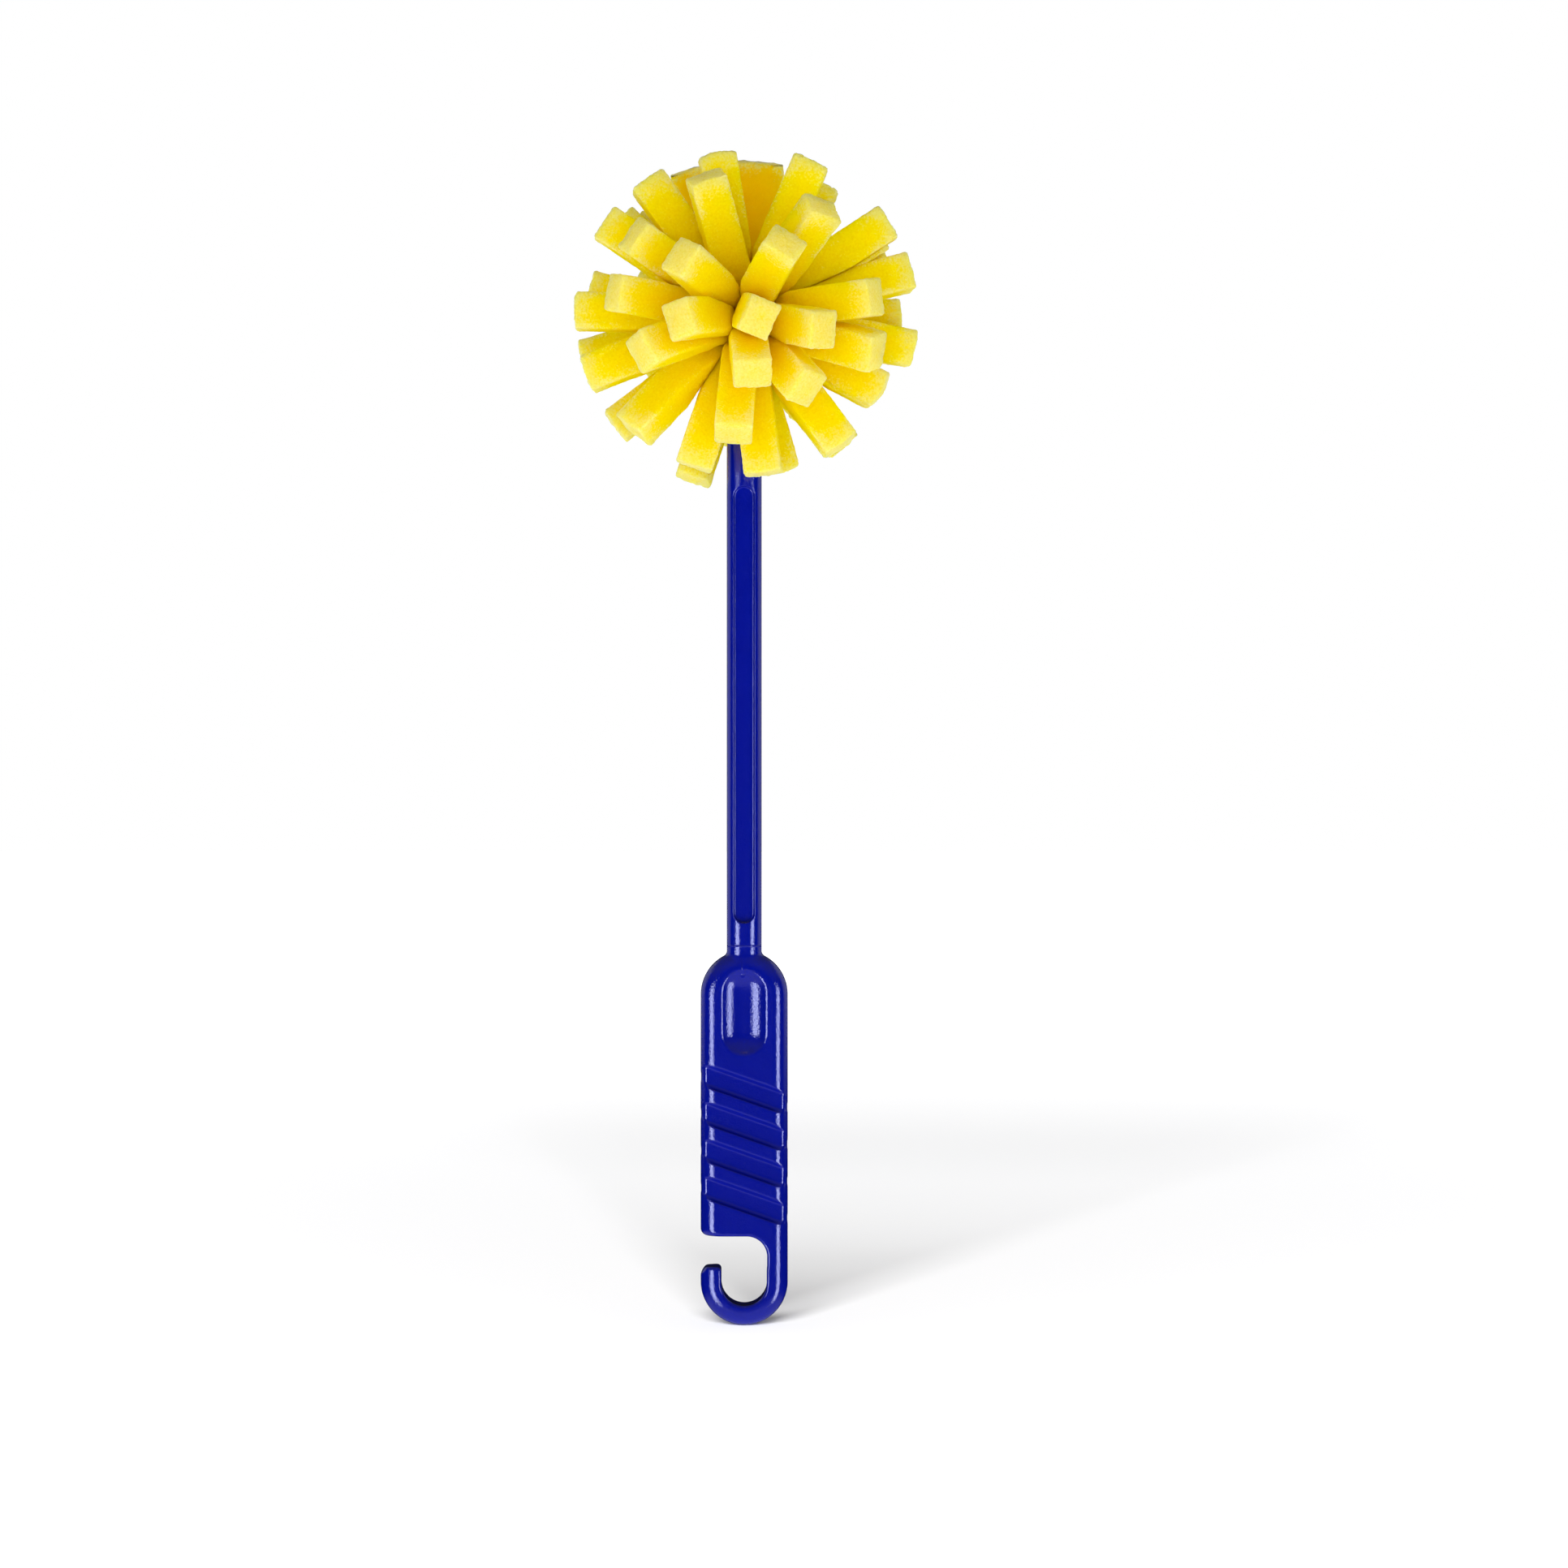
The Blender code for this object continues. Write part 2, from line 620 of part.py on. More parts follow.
def lay_strips():
    """Every arm of the head, so that each can be pressed in by the others."""
    half_sizes = (STRIP_THICKNESS / 2, STRIP_WIDTH / 2)
    laid = {}
    for name, (front, rear) in STRIPS.items():
        reach = HEAD_RADIUS * REACH_SHARES.get(name, 1.0)
        waist = waist_of(front[0], front[1])
        laid[name] = [Arm(waist, front, -1, reach, half_sizes, name),
                      Arm(waist, rear, 1, reach, half_sizes, name)]
    waists = [waist_of(front[0], front[1]) for front in SLAB_FRONT_ARMS]
    reach = HEAD_RADIUS * REACH_SHARES[SLAB_NAME]
    arms = [Arm(waist, front, -1, reach, half_sizes, SLAB_NAME)
            for waist, front in zip(waists, SLAB_FRONT_ARMS)]
    middle = (waists[0] + waists[1]) / 2
    slab_sizes = (STRIP_THICKNESS / 2, SLAB_WIDTH / 2)
    rear_reach = HEAD_RADIUS * SLAB_REAR_REACH_SHARE
    arms.append(Arm(middle, SLAB_REAR_ARM, 1, rear_reach, slab_sizes, SLAB_NAME))
    laid[SLAB_NAME] = arms
    return laid


def waist_clock(arm):
    return math.atan2(arm.waist[2], arm.waist[0])


def build_strip(name, front, rear, group):
    clock = waist_clock(front)
    middle = section(front, 0.0, clock, STRIP_OUTLINE_SHARES)
    rings = arm_rings(rear, clock, STRIP_OUTLINE_SHARES)[::-1]
    rings += [middle] + arm_rings(front, clock, STRIP_OUTLINE_SHARES)
    return mesh_object(name, loft(rings), group)


def build_slab(arms_of_slab, parts, cutters):
    """The slab behind and its two arms in front, grown into one piece at the eye."""
    rear = arms_of_slab[-1]
    clock = waist_clock(rear)
    rings = [section(rear, 0.0, clock, SLAB_OUTLINE_SHARES)]
    rings += arm_rings(rear, clock, SLAB_OUTLINE_SHARES)
    bow = [SLAB_END_BOW * along_share ** 2 * rear.heading for _, along_share in SLAB_OUTLINE_SHARES]
    rings[-1] = [point - drop for point, drop in zip(rings[-1], bow)]
    slab = mesh_object(SLAB_NAME, loft(rings), parts)
    for number, front in enumerate(arms_of_slab[:-1]):
        clock = waist_clock(front)
        middle = np.array(section(front, 0.0, clock, STRIP_OUTLINE_SHARES))
        centre = middle.mean(axis=0)
        root = centre + (middle - centre) * SLAB_ROOT_SHARE + rear.through * EYE_BAR / 4
        neck = centre + (middle - centre) * SLAB_NECK_SHARE
        rings = [root.tolist(), neck.tolist()] + arm_rings(front, clock, STRIP_OUTLINE_SHARES)
        arm_body = mesh_object(f"slab_arm_{number + 1}", loft(rings), cutters)
        hide_cutter(arm_body)
        boolean(slab, arm_body, "UNION")
    bpy.context.view_layer.update()
    settle_modifiers(slab)
    tidy_cuts(slab)
    return slab


def build_head(parts, cutters, foam, handle):
    """All foam pieces, placed on the eye's centre."""
    centre = bpy.data.objects.new("eye_centre", None)
    centre.location = (0.0, 0.0, EYE_HEIGHT)
    centre.parent = handle
    parts.objects.link(centre)
    laid = lay_strips()
    give_bounds([arm for own in laid.values() for arm in own])
    for name, own in laid.items():
        if name == SLAB_NAME:
            piece = build_slab(own, parts, cutters)
        else:
            piece = build_strip(name, own[0], own[1], parts)
        piece.parent = centre
        piece.data.materials.clear()
        piece.data.materials.append(foam)


def main():
    clear_scene()
    parts = new_collection("foam_dish_mop")
    cutters = new_collection("cutters")
    plastic = plain_material("blue_polypropylene", (0.001, 0.007, 0.27), 0.25)
    foam = plain_material("yellow_polyurethane_foam", (0.87, 0.64, 0.001), 0.95)
    handle = build_handle(parts, cutters, plastic)
    build_head(parts, cutters, foam, handle)
    for cutter in cutters.objects:
        hide_cutter(cutter)


main()
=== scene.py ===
"""Foam strip dish mop: a ball of foam strips on a moulded plastic handle with a hanging hook."""
import math

import bmesh
import bpy
import numpy as np
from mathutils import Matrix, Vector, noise
from mathutils.kdtree import KDTree


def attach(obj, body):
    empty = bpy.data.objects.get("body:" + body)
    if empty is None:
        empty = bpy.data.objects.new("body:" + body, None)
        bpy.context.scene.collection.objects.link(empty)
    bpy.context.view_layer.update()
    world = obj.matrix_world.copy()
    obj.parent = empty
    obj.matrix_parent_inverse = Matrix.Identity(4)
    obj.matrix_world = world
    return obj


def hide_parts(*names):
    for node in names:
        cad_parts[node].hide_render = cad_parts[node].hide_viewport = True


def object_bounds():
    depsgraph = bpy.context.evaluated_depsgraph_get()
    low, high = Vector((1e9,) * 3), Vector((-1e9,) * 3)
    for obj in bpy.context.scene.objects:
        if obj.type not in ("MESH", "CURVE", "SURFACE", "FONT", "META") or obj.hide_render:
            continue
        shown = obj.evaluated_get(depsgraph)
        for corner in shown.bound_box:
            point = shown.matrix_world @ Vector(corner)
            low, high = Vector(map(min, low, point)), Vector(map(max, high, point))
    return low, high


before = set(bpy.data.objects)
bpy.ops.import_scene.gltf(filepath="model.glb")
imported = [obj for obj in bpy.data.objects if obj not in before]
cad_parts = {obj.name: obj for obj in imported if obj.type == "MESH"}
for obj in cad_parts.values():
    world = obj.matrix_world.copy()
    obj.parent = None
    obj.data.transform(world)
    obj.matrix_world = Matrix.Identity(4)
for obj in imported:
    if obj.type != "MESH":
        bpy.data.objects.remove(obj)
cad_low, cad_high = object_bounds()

# Camera
# A long lens looks level at the handle's front, from just under half the mop's height. Its
# place was read from the upright sides of the handle and the shoulder of the grip.
camera_data = bpy.data.cameras.new("camera")
camera_data.sensor_width = 36.0
camera_data.lens = 96.88
camera_data.clip_start = 0.01
camera_data.clip_end = 50.0
camera_data.dof.use_dof = False
camera = bpy.data.objects.new("camera", camera_data)
camera.location = (0.01084, -1.150, 0.1473)
camera.rotation_euler = (math.radians(90), 0.0, 0.0)
bpy.context.scene.collection.objects.link(camera)
bpy.context.scene.camera = camera

# Handle
# One moulding in polypropylene: grip with thumb rest and finger grooves, hook, fluted shaft
# and the eye that holds the foam. The mould's edges are rounded, so every rim and every
# inside corner has a small radius that catches the light. All sizes are in metres.

# The grip's plate and its hook
GRIP_WIDTH = 0.0237
GRIP_THICKNESS = 0.0102
GRIP_LENGTH = 0.1019
GRIP_EDGE_RADIUS = 0.0048
GRIP_CORNER_RADIUS = 0.0020
HOOK_LIMB = 0.0056
HOOK_TIP_RISE = 0.00425
HOOK_TIP_SLANT = 0.0014
HOOK_TIP_ROUND = 0.0012
SLOT_RISE = 0.01255
SLOT_CORNER_RADIUS = 0.0055
SLOT_EDGE_RADIUS = 0.0009

# The thumb rest and the finger grooves
THUMB_WIDTH = 0.0121
THUMB_LENGTH = 0.0230
THUMB_DEPTH = 0.0026
THUMB_BELOW_TOP = 0.0167
THUMB_RIM_RADIUS = 0.0004
GROOVE_COUNT = 4
GROOVE_ABOVE_SLOT = 0.0099
GROOVE_PITCH = 0.0101
GROOVE_FLOOR = 0.0045
GROOVE_WALL_RUN = 0.0009
GROOVE_DEPTH = 0.0016
GROOVE_FILLET = 0.0015
GROOVE_SLOPE = math.radians(19.3)
GROOVE_SIDE_RADIUS = 0.0021

# The shaft, its flutes and the eye
SHAFT_WIDTH = 0.0095
SHAFT_THICKNESS = 0.0090
SHAFT_TIP_TAPER = 0.0045
FLUTE_WIDTH = 0.0054
FLUTE_DEPTH = 0.0018
FLUTE_FLOOR_RADIUS = 0.0004
FLUTE_RIM_RADIUS = 0.00022
FLUTE_ABOVE_GRIP = 0.0076
FLUTE_BELOW_EYE = 0.0458
EYE_HEIGHT = 0.2740
EYE_RADIUS = 0.0110
EYE_BAR = 0.0038
NECK_FILLET = 0.0008
RIM_RADIUS = 0.00035

# The gate mark over the thumb rest: its place, and its tail's width, length and distance
GATE_MARK = (-0.0004, 0.0953)
GATE_RADIUS = 0.0005
GATE_RISE = 0.00035
GATE_TAIL = (0.0004, 0.0011, 0.0017)
GATE_TAIL_SHARE = 0.5

# How finely the skin is drawn and how it is pulled onto the form
SKIN_STEP = 0.00036
SKIN_WELD = 0.00001
SKIN_ROUNDS = 6
SKIN_PULL = 0.0004
LEAST_SLOPE = 0.05
SHAFT_STRETCH = 3.5

grip_half = GRIP_WIDTH / 2
face_depth = GRIP_THICKNESS / 2
eye_rim = EYE_RADIUS + EYE_BAR / 2
slot_roof = grip_half + SLOT_RISE


def common(first, second, radius):
    """Distance to what two forms share, with the edge between them rounded."""
    over = np.hypot(np.maximum(first + radius, 0.0), np.maximum(second + radius, 0.0))
    return np.minimum(np.maximum(first, second), -radius) + over


def joined(first, second, radius):
    """Distance to two forms together, with a fillet where they meet."""
    return -common(-first, -second, radius)


def upright_bar(across, height, low, high, radius):
    """Distance to a bar with round ends."""
    return np.hypot(across, height - np.clip(height, low, high)) - radius


def slot_form(x, z):
    """The hook's slot and its mouth, which opens to the left."""
    inner = grip_half - HOOK_LIMB
    tip_top = grip_half + HOOK_TIP_RISE
    bay = common(x - inner, z - slot_roof, SLOT_CORNER_RADIUS)
    bowl = np.hypot(x, np.minimum(z - grip_half, 0.0)) - inner
    slanted = (tip_top - HOOK_TIP_SLANT + x + grip_half - z) / math.sqrt(2)
    above_tip = joined(tip_top - z, slanted, RIM_RADIUS)
    return common(bay, joined(bowl, above_tip, HOOK_TIP_ROUND), RIM_RADIUS)


def groove_form(x, y, z, number):
    """One slanted groove: a sloping upper wall, a hollow lower one, and a floor that rounds
    off to the grip's sides."""
    floor = GROOVE_DEPTH - face_depth
    middle = slot_roof + GROOVE_ABOVE_SLOT + GROOVE_PITCH * number
    off = (z - middle + x * math.tan(GROOVE_SLOPE)) * math.cos(GROOVE_SLOPE)
    lean = math.atan2(GROOVE_WALL_RUN, GROOVE_DEPTH)
    half = GROOVE_FLOOR / 2 * math.cos(GROOVE_SLOPE)
    upper = (off - half) * math.cos(lean) - (floor - y) * math.sin(lean)
    core = common(np.abs(x) - grip_half, floor - y, GROOVE_SIDE_RADIUS)
    hollow = common(-off - half - GROOVE_WALL_RUN, -core, GROOVE_FILLET)
    return common(hollow, upper, RIM_RADIUS)


def flute_form(x, y, z, side):
    """The long flute in one face of the shaft."""
    radius = FLUTE_WIDTH / 2
    low = GRIP_LENGTH + FLUTE_ABOVE_GRIP + radius
    high = EYE_HEIGHT - FLUTE_BELOW_EYE - radius
    floor = SHAFT_THICKNESS / 2 - FLUTE_DEPTH
    return common(upright_bar(x, z, low, high, radius), floor - y * side, FLUTE_FLOOR_RADIUS)


def shaft_form(x, y, z):
    """Oval rod, drawn down to the bar of the eye at its upper end."""
    top = EYE_HEIGHT - eye_rim
    share = np.clip((top - z) / SHAFT_TIP_TAPER, 0.0, 1.0)
    thick = EYE_BAR / 2 + (SHAFT_THICKNESS / 2 - EYE_BAR / 2) * share
    wide = SHAFT_WIDTH / 2
    oval = (np.hypot(x / wide, y / thick) - 1.0) * thick
    foot = GRIP_LENGTH - grip_half
    return common(oval, np.maximum(foot - z, z - top), RIM_RADIUS)


def handle_form(points):
    """Distance to the whole moulding, below zero inside."""
    x, y, z = points.T
    plate = common(upright_bar(x, z, grip_half, GRIP_LENGTH - grip_half, grip_half),
                   np.abs(y) - face_depth, GRIP_EDGE_RADIUS)
    above_slot = z > slot_roof - HOOK_LIMB / 2
    near_foot = np.clip((-x - grip_half / 2) / (grip_half / 3), 0.0, 1.0) * above_slot
    slot_edge = SLOT_EDGE_RADIUS + (GRIP_CORNER_RADIUS - SLOT_EDGE_RADIUS) * near_foot
    form = common(plate, -slot_form(x, z), slot_edge)
    for number in range(GROOVE_COUNT):
        form = common(form, -groove_form(x, y, z, number), RIM_RADIUS)
    form = joined(form, shaft_form(x, y, z), NECK_FILLET)
    half = THUMB_WIDTH / 2
    hollow = (half * half + THUMB_DEPTH * THUMB_DEPTH) / (2 * THUMB_DEPTH)
    reach = THUMB_LENGTH / 2 - half
    middle = GRIP_LENGTH - THUMB_BELOW_TOP
    from_axis = np.hypot(x, y + face_depth + hollow - THUMB_DEPTH)
    scoop = np.hypot(from_axis, z - np.clip(z, middle - reach, middle + reach)) - hollow
    form = common(form, -scoop, THUMB_RIM_RADIUS)
    form = common(form, -flute_form(x, y, z, -1), FLUTE_RIM_RADIUS)
    form = common(form, -flute_form(x, y, z, 1), FLUTE_RIM_RADIUS)
    from_gate = np.hypot(x - GATE_MARK[0], z - GATE_MARK[1]) / GATE_RADIUS
    tail_width, tail_length, tail_above = GATE_TAIL
    from_tail = np.hypot((x - GATE_MARK[0]) / tail_width,
                         (z - GATE_MARK[1] - tail_above) / tail_length)
    gate = GATE_RISE * (np.exp(-from_gate ** 2) + GATE_TAIL_SHARE * np.exp(-from_tail ** 2))
    form = form - gate * (y < 0)
    ring = np.hypot(np.hypot(x, z - EYE_HEIGHT) - eye_rim, y) - EYE_BAR / 2
    return joined(form, ring, RIM_RADIUS)


def slope_of(form, points, step=0.00002):
    """The direction in which a form's distance grows, at each point."""
    rows = []
    for axis in range(3):
        shift = np.zeros(3)
        shift[axis] = step
        rows.append((form(points + shift) - form(points - shift)) / (2 * step))
    return np.array(rows).T


def squeezed(z, back=False):
    """Heights with the plain shaft drawn shorter, to save faces there, or the way back."""
    low = GRIP_LENGTH + FLUTE_ABOVE_GRIP + FLUTE_WIDTH
    high = EYE_HEIGHT - FLUTE_BELOW_EYE - FLUTE_WIDTH
    short = (high - low) / SHAFT_STRETCH
    marks, places = (0.0, low, high, 1.0), (0.0, low, low + short, 1.0 - high + low + short)
    return np.interp(z, places, marks) if back else np.interp(z, marks, places)


def vertex_array(mesh):
    """The places of a mesh's vertices."""
    flat = np.empty(len(mesh.vertices) * 3)
    mesh.vertices.foreach_get("co", flat)
    return flat.reshape(-1, 3)


def make_handle():
    """An even skin over the solid, drawn onto the exact rounded form."""
    shape = bmesh.new()
    shape.from_mesh(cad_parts["handle"].data)
    bmesh.ops.remove_doubles(shape, verts=shape.verts, dist=SKIN_WELD)
    for vert in shape.verts:
        vert.co.z = squeezed(vert.co.z)
    mesh = bpy.data.meshes.new("moulded_handle")
    shape.to_mesh(mesh)
    shape.free()
    made = bpy.data.objects.new("moulded_handle", mesh)
    bpy.context.scene.collection.objects.link(made)
    skin = made.modifiers.new("skin", "REMESH")
    skin.mode = "VOXEL"
    skin.voxel_size = SKIN_STEP
    evaluated = made.evaluated_get(bpy.context.evaluated_depsgraph_get())
    made.data = bpy.data.meshes.new_from_object(evaluated)
    made.modifiers.clear()
    points = vertex_array(made.data)
    points[:, 2] = squeezed(points[:, 2], back=True)
    for _ in range(SKIN_ROUNDS):
        slope = slope_of(handle_form, points)
        steep = np.maximum((slope ** 2).sum(1), LEAST_SLOPE)
        pull = np.clip(handle_form(points) / steep, -SKIN_PULL, SKIN_PULL)
        points -= pull[:, None] * slope
    made.data.vertices.foreach_set("co", points.ravel())
    made.data.update()
    made.data.shade_smooth()
    slope = slope_of(handle_form, points)
    steep = np.maximum(np.linalg.norm(slope, axis=1), 1e-9)
    made.data.normals_split_custom_set_from_vertices(slope / steep[:, None])
    return made


def linear(hex_colour):
    """A colour written as sRGB hex, as linear red, green, blue and one."""
    parts = (int(hex_colour[i:i + 2], 16) / 255 for i in (0, 2, 4))
    return tuple(part / 12.92 if part <= 0.04045 else ((part + 0.055) / 1.055) ** 2.4
                 for part in parts) + (1.0,)


def add_node(tree, kind, settings=None, **given):
    """Adds a node. Settings go to its own fields or, by name, to its sockets. What is given
    by keyword, a value or another node's output, goes to the socket of that name, whose
    spaces are written as low lines, or of that number after a low line."""
    made = tree.nodes.new(kind)
    for name, value in (settings or {}).items():
        if hasattr(made, name):
            setattr(made, name, value)
        else:
            made.inputs[name].default_value = value
    for name, value in given.items():
        socket = made.inputs[int(name[1:]) if name[0] == "_" else name.replace("_", " ")]
        if isinstance(value, bpy.types.NodeSocket):
            tree.links.new(value, socket)
        else:
            socket.default_value = value
    return made


def new_material(name):
    """An empty material and its node tree."""
    made = bpy.data.materials.new(name)
    made.use_nodes = True
    made.node_tree.nodes.clear()
    return made, made.node_tree


# The plastic's colours, the sizes and heights of its unevenness, and the line at its neck
PLASTIC_COLOURS = ("000b84", "010f8c")
PLASTIC_CLOUD = 0.006
PEEL_SIZE = 0.0015
PEEL_RISE = 0.00002
MOULD_GRAIN = 0.0005
MOULD_GRAIN_RISE = 0.00006
NECK_LINE = 0.1033
NECK_LINE_REACH = 0.0003
NECK_LINE_RISE = 0.00015


def polypropylene():
    """Glossy moulded polypropylene, coloured through in deep blue. The mould's polish gives
    sharp highlights, broken a little by the skin's fine orange-peel unevenness."""
    made, tree = new_material("moulded_polypropylene_blue")
    place = add_node(tree, "ShaderNodeTexCoord").outputs["Object"]
    # Orange peel is about 1.5 mm across. The mould's spark-eroded grain is finer than 0.1 mm
    # and is drawn 0.5 mm across so that it shows.
    peel = add_node(tree, "ShaderNodeTexNoise", {"Scale": 1 / PEEL_SIZE, "Detail": 1.0},
                    Vector=place)
    grain = add_node(tree, "ShaderNodeTexNoise", {"Scale": 1 / MOULD_GRAIN, "Detail": 2.0},
                     Vector=place)
    skin = add_node(tree, "ShaderNodeBump", {"Strength": 0.15, "Distance": PEEL_RISE},
                    Height=peel.outputs["Fac"])
    # Where the mould's two halves meet across the neck they leave a fine raised line
    parts = add_node(tree, "ShaderNodeSeparateXYZ", Vector=place)
    off_line = add_node(tree, "ShaderNodeMath", {"operation": "SUBTRACT"},
                        _0=parts.outputs["Z"], _1=NECK_LINE)
    off_line = add_node(tree, "ShaderNodeMath", {"operation": "ABSOLUTE"}, _0=off_line.outputs[0])
    line = add_node(tree, "ShaderNodeMapRange",
                    {"From Max": NECK_LINE_REACH, "To Min": 1.0, "To Max": 0.0},
                    Value=off_line.outputs[0])
    skin = add_node(tree, "ShaderNodeBump", {"Strength": 0.8, "Distance": NECK_LINE_RISE},
                    Height=line.outputs["Result"], Normal=skin.outputs["Normal"])
    skin = add_node(tree, "ShaderNodeBump", {"Strength": 1.0, "Distance": MOULD_GRAIN_RISE},
                    Height=grain.outputs["Fac"], Normal=skin.outputs["Normal"])
    cloud = add_node(tree, "ShaderNodeTexNoise", {"Scale": 1 / PLASTIC_CLOUD, "Detail": 3.0},
                     Vector=place)
    darker, lighter = (linear(colour) for colour in PLASTIC_COLOURS)
    tint = add_node(tree, "ShaderNodeMix", {"data_type": "RGBA"},
                    Factor=cloud.outputs["Fac"], _6=darker, _7=lighter)
    rough = add_node(tree, "ShaderNodeMapRange", {"To Min": 0.08, "To Max": 0.12},
                     Value=grain.outputs["Fac"])
    shader = add_node(tree, "ShaderNodeBsdfPrincipled", {"IOR": 1.49, "Specular IOR Level": 0.85},
                      Base_Color=tint.outputs[2], Roughness=rough.outputs["Result"],
                      Normal=skin.outputs["Normal"])
    add_node(tree, "ShaderNodeOutputMaterial", Surface=shader.outputs["BSDF"])
    return made


handle = make_handle()
handle.data.materials.clear()
handle.data.materials.append(polypropylene())
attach(handle, "root")
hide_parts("handle")

# Foam strips
# Open-cell polyurethane foam, sawn from sheet into strips of 10 mm by 8.4 mm. Each strip is
# drawn through the eye to half its length and bends round the eye's bar, one arm to the
# front and one to the back. The saw leaves the ends and edges fuzzy and paler, the paleness
# partly a painted sheen.
STRIP_WIDTH = 0.0100
STRIP_THICKNESS = 0.0084
SLAB_WIDTH = 0.0310
HEAD_RADIUS = 0.0470
WAIST_RADIUS = 0.0096
CURL = math.radians(28)
CORNER_RADIUS = 0.0006

# The room that a strip keeps from its neighbours and the eye, and how that room is felt out
SEAT_GAP = 0.00006
EYE_GAP = 0.0005
TRAIL_SPACING = 0.0006
FEEL_SPACING = 0.0014
FEEL_REACH = 0.0190
FEEL_FAR = (0.026, 0.034)
FEEL_STEP = 1 / 20
FEEL_HALVINGS = 4
AIM_ROUNDS = 12

# How finely a strip is drawn, and how its cut end bulges
FOAM_STEP = 0.0005
CORNER_STEPS = 4
END_RINGS = (0.88, 0.75, 0.6, 0.44, 0.28, 0.12)
BOW_REACH = 0.004
BOW_SHARES = (0.3, 0.7)

# The sawn surface's tufts and waves, which stand higher at the ends
TUFT_SIZE = 0.0004
TUFT_SHARE = 0.7
FINE_SIZE = 0.0011
BROAD_SIZE = 0.0035
GRAIN_RISE = 0.00009
END_RISE = 0.00026
END_RISE_REACH = 0.002
SEED_STRIDE = 0.37

# Each arm: the angle of its tip round the eye, from the right over the top, its lean away
# from the eye's axis and the turn of its section, in degrees; the front arm, then the rear
STRIPS = {
    "foam_strip_centre": ((314, 8, 23), (300, 8, 10)),
    "foam_strip_inner_left": ((196, 22, 1), (192, 22, 8)),
    "foam_strip_inner_low": ((278, 24.3, -7), (275, 26, 5)),
    "foam_strip_inner_right": ((341, 28.8, 19), (343, 28, 12)),
    "foam_strip_inner_high": ((54, 24, 3), (50, 25, -8)),
    "foam_strip_inner_low_right": ((307, 37, 26), (310, 37, 10)),
    "foam_strip_inner_high_left": ((144, 25.5, 6), (143, 26, 0)),
    "foam_strip_inner_low_left": ((205, 39.5, 6), (202, 36, 6)),
    "foam_strip_mid_low": ((265.5, 47, 1), (262, 40, -4)),
    "foam_strip_mid_low_right": ((341.5, 53.5, 25), (344, 51, 4)),
    "foam_strip_mid_right": ((4, 48.7, 5), (3.5, 66.5, -6)),
    "foam_strip_mid_left": ((174, 47.5, -6), (166.5, 69, 5)),
    "foam_strip_mid_high_right": ((51, 46, 40), (50, 46, 3)),
    "foam_strip_mid_high_left": ((147, 48, -5), (144, 42, 6)),
    "foam_strip_rim_one_oclock": ((66, 73, 0), (61, 71, 3)),
    "foam_strip_rim_two_oclock": ((33, 80, 3), (34, 72, 0)),
    "foam_strip_rim_half_past_two": ((15, 82, -3), (24.5, 66, 4)),
    "foam_strip_rim_half_past_three": ((349, 82, 2), (351.5, 74, -4)),
    "foam_strip_rim_four_oclock": ((331, 74, 4), (333, 67, 0)),
    "foam_strip_rim_five_oclock": ((306, 69, -8), (309, 63, 7)),
    "foam_strip_rim_six_oclock": ((277, 71, 4), (284.5, 63, -3)),
    "foam_strip_rim_seven_oclock": ((252, 71, -4), (252, 82, 3)),
    "foam_strip_rim_half_past_seven": ((227, 68, 32), (218.5, 76, 0)),
    "foam_strip_rim_half_past_eight": ((201, 76, 3), (196, 65, 8)),
    "foam_strip_rim_nine_oclock": ((179, 76, 1), (193, 77, -9)),
    "foam_strip_rim_ten_oclock": ((147, 73, 0), (140.5, 72, -3)),
    "foam_strip_rim_eleven_oclock": ((126, 74, 5), (137, 63, 12)),
}
SLAB_NAME = "foam_slab_uncut"
SLAB_FRONT_ARMS = ((106, 52.5, 8), (99.5, 73, 3))
SLAB_REAR_ARM = (96.5, 71, 0)
SLAB_REAR_REACH_SHARE = 1.02

# Shares of the head's radius that some strips and the slab's front arms reach
REACH_SHARES = {
    SLAB_NAME: 0.978,
    "foam_strip_rim_four_oclock": 0.955,
    "foam_strip_rim_five_oclock": 1.02,
    "foam_strip_rim_six_oclock": 0.985,
    "foam_strip_rim_seven_oclock": 0.98,
    "foam_strip_rim_eleven_oclock": 0.985,
}

# How far an end bulges in its middle: front arm, then rear arm
USUAL_BOWS = (0.0002, 0.0002)
END_BOWS = {
    "foam_strip_rim_four_oclock": (0.0013, 0.0009),
    "foam_strip_rim_five_oclock": (0.0007, 0.0004),
    "foam_strip_rim_six_oclock": (0.0003, 0.0010),
    "foam_strip_rim_nine_oclock": (0.0005, 0.0003),
}


def unit(vector):
    return vector / np.linalg.norm(vector)


def eased(share):
    """A share from 0 to 1 that starts and ends gently."""
    return share * share * (3 - 2 * share)


def on_clock(clock_deg):
    """The direction from the eye's middle at an angle round it, from the right over the top."""
    clock = math.radians(clock_deg)
    return np.array((math.cos(clock), 0.0, math.sin(clock)))


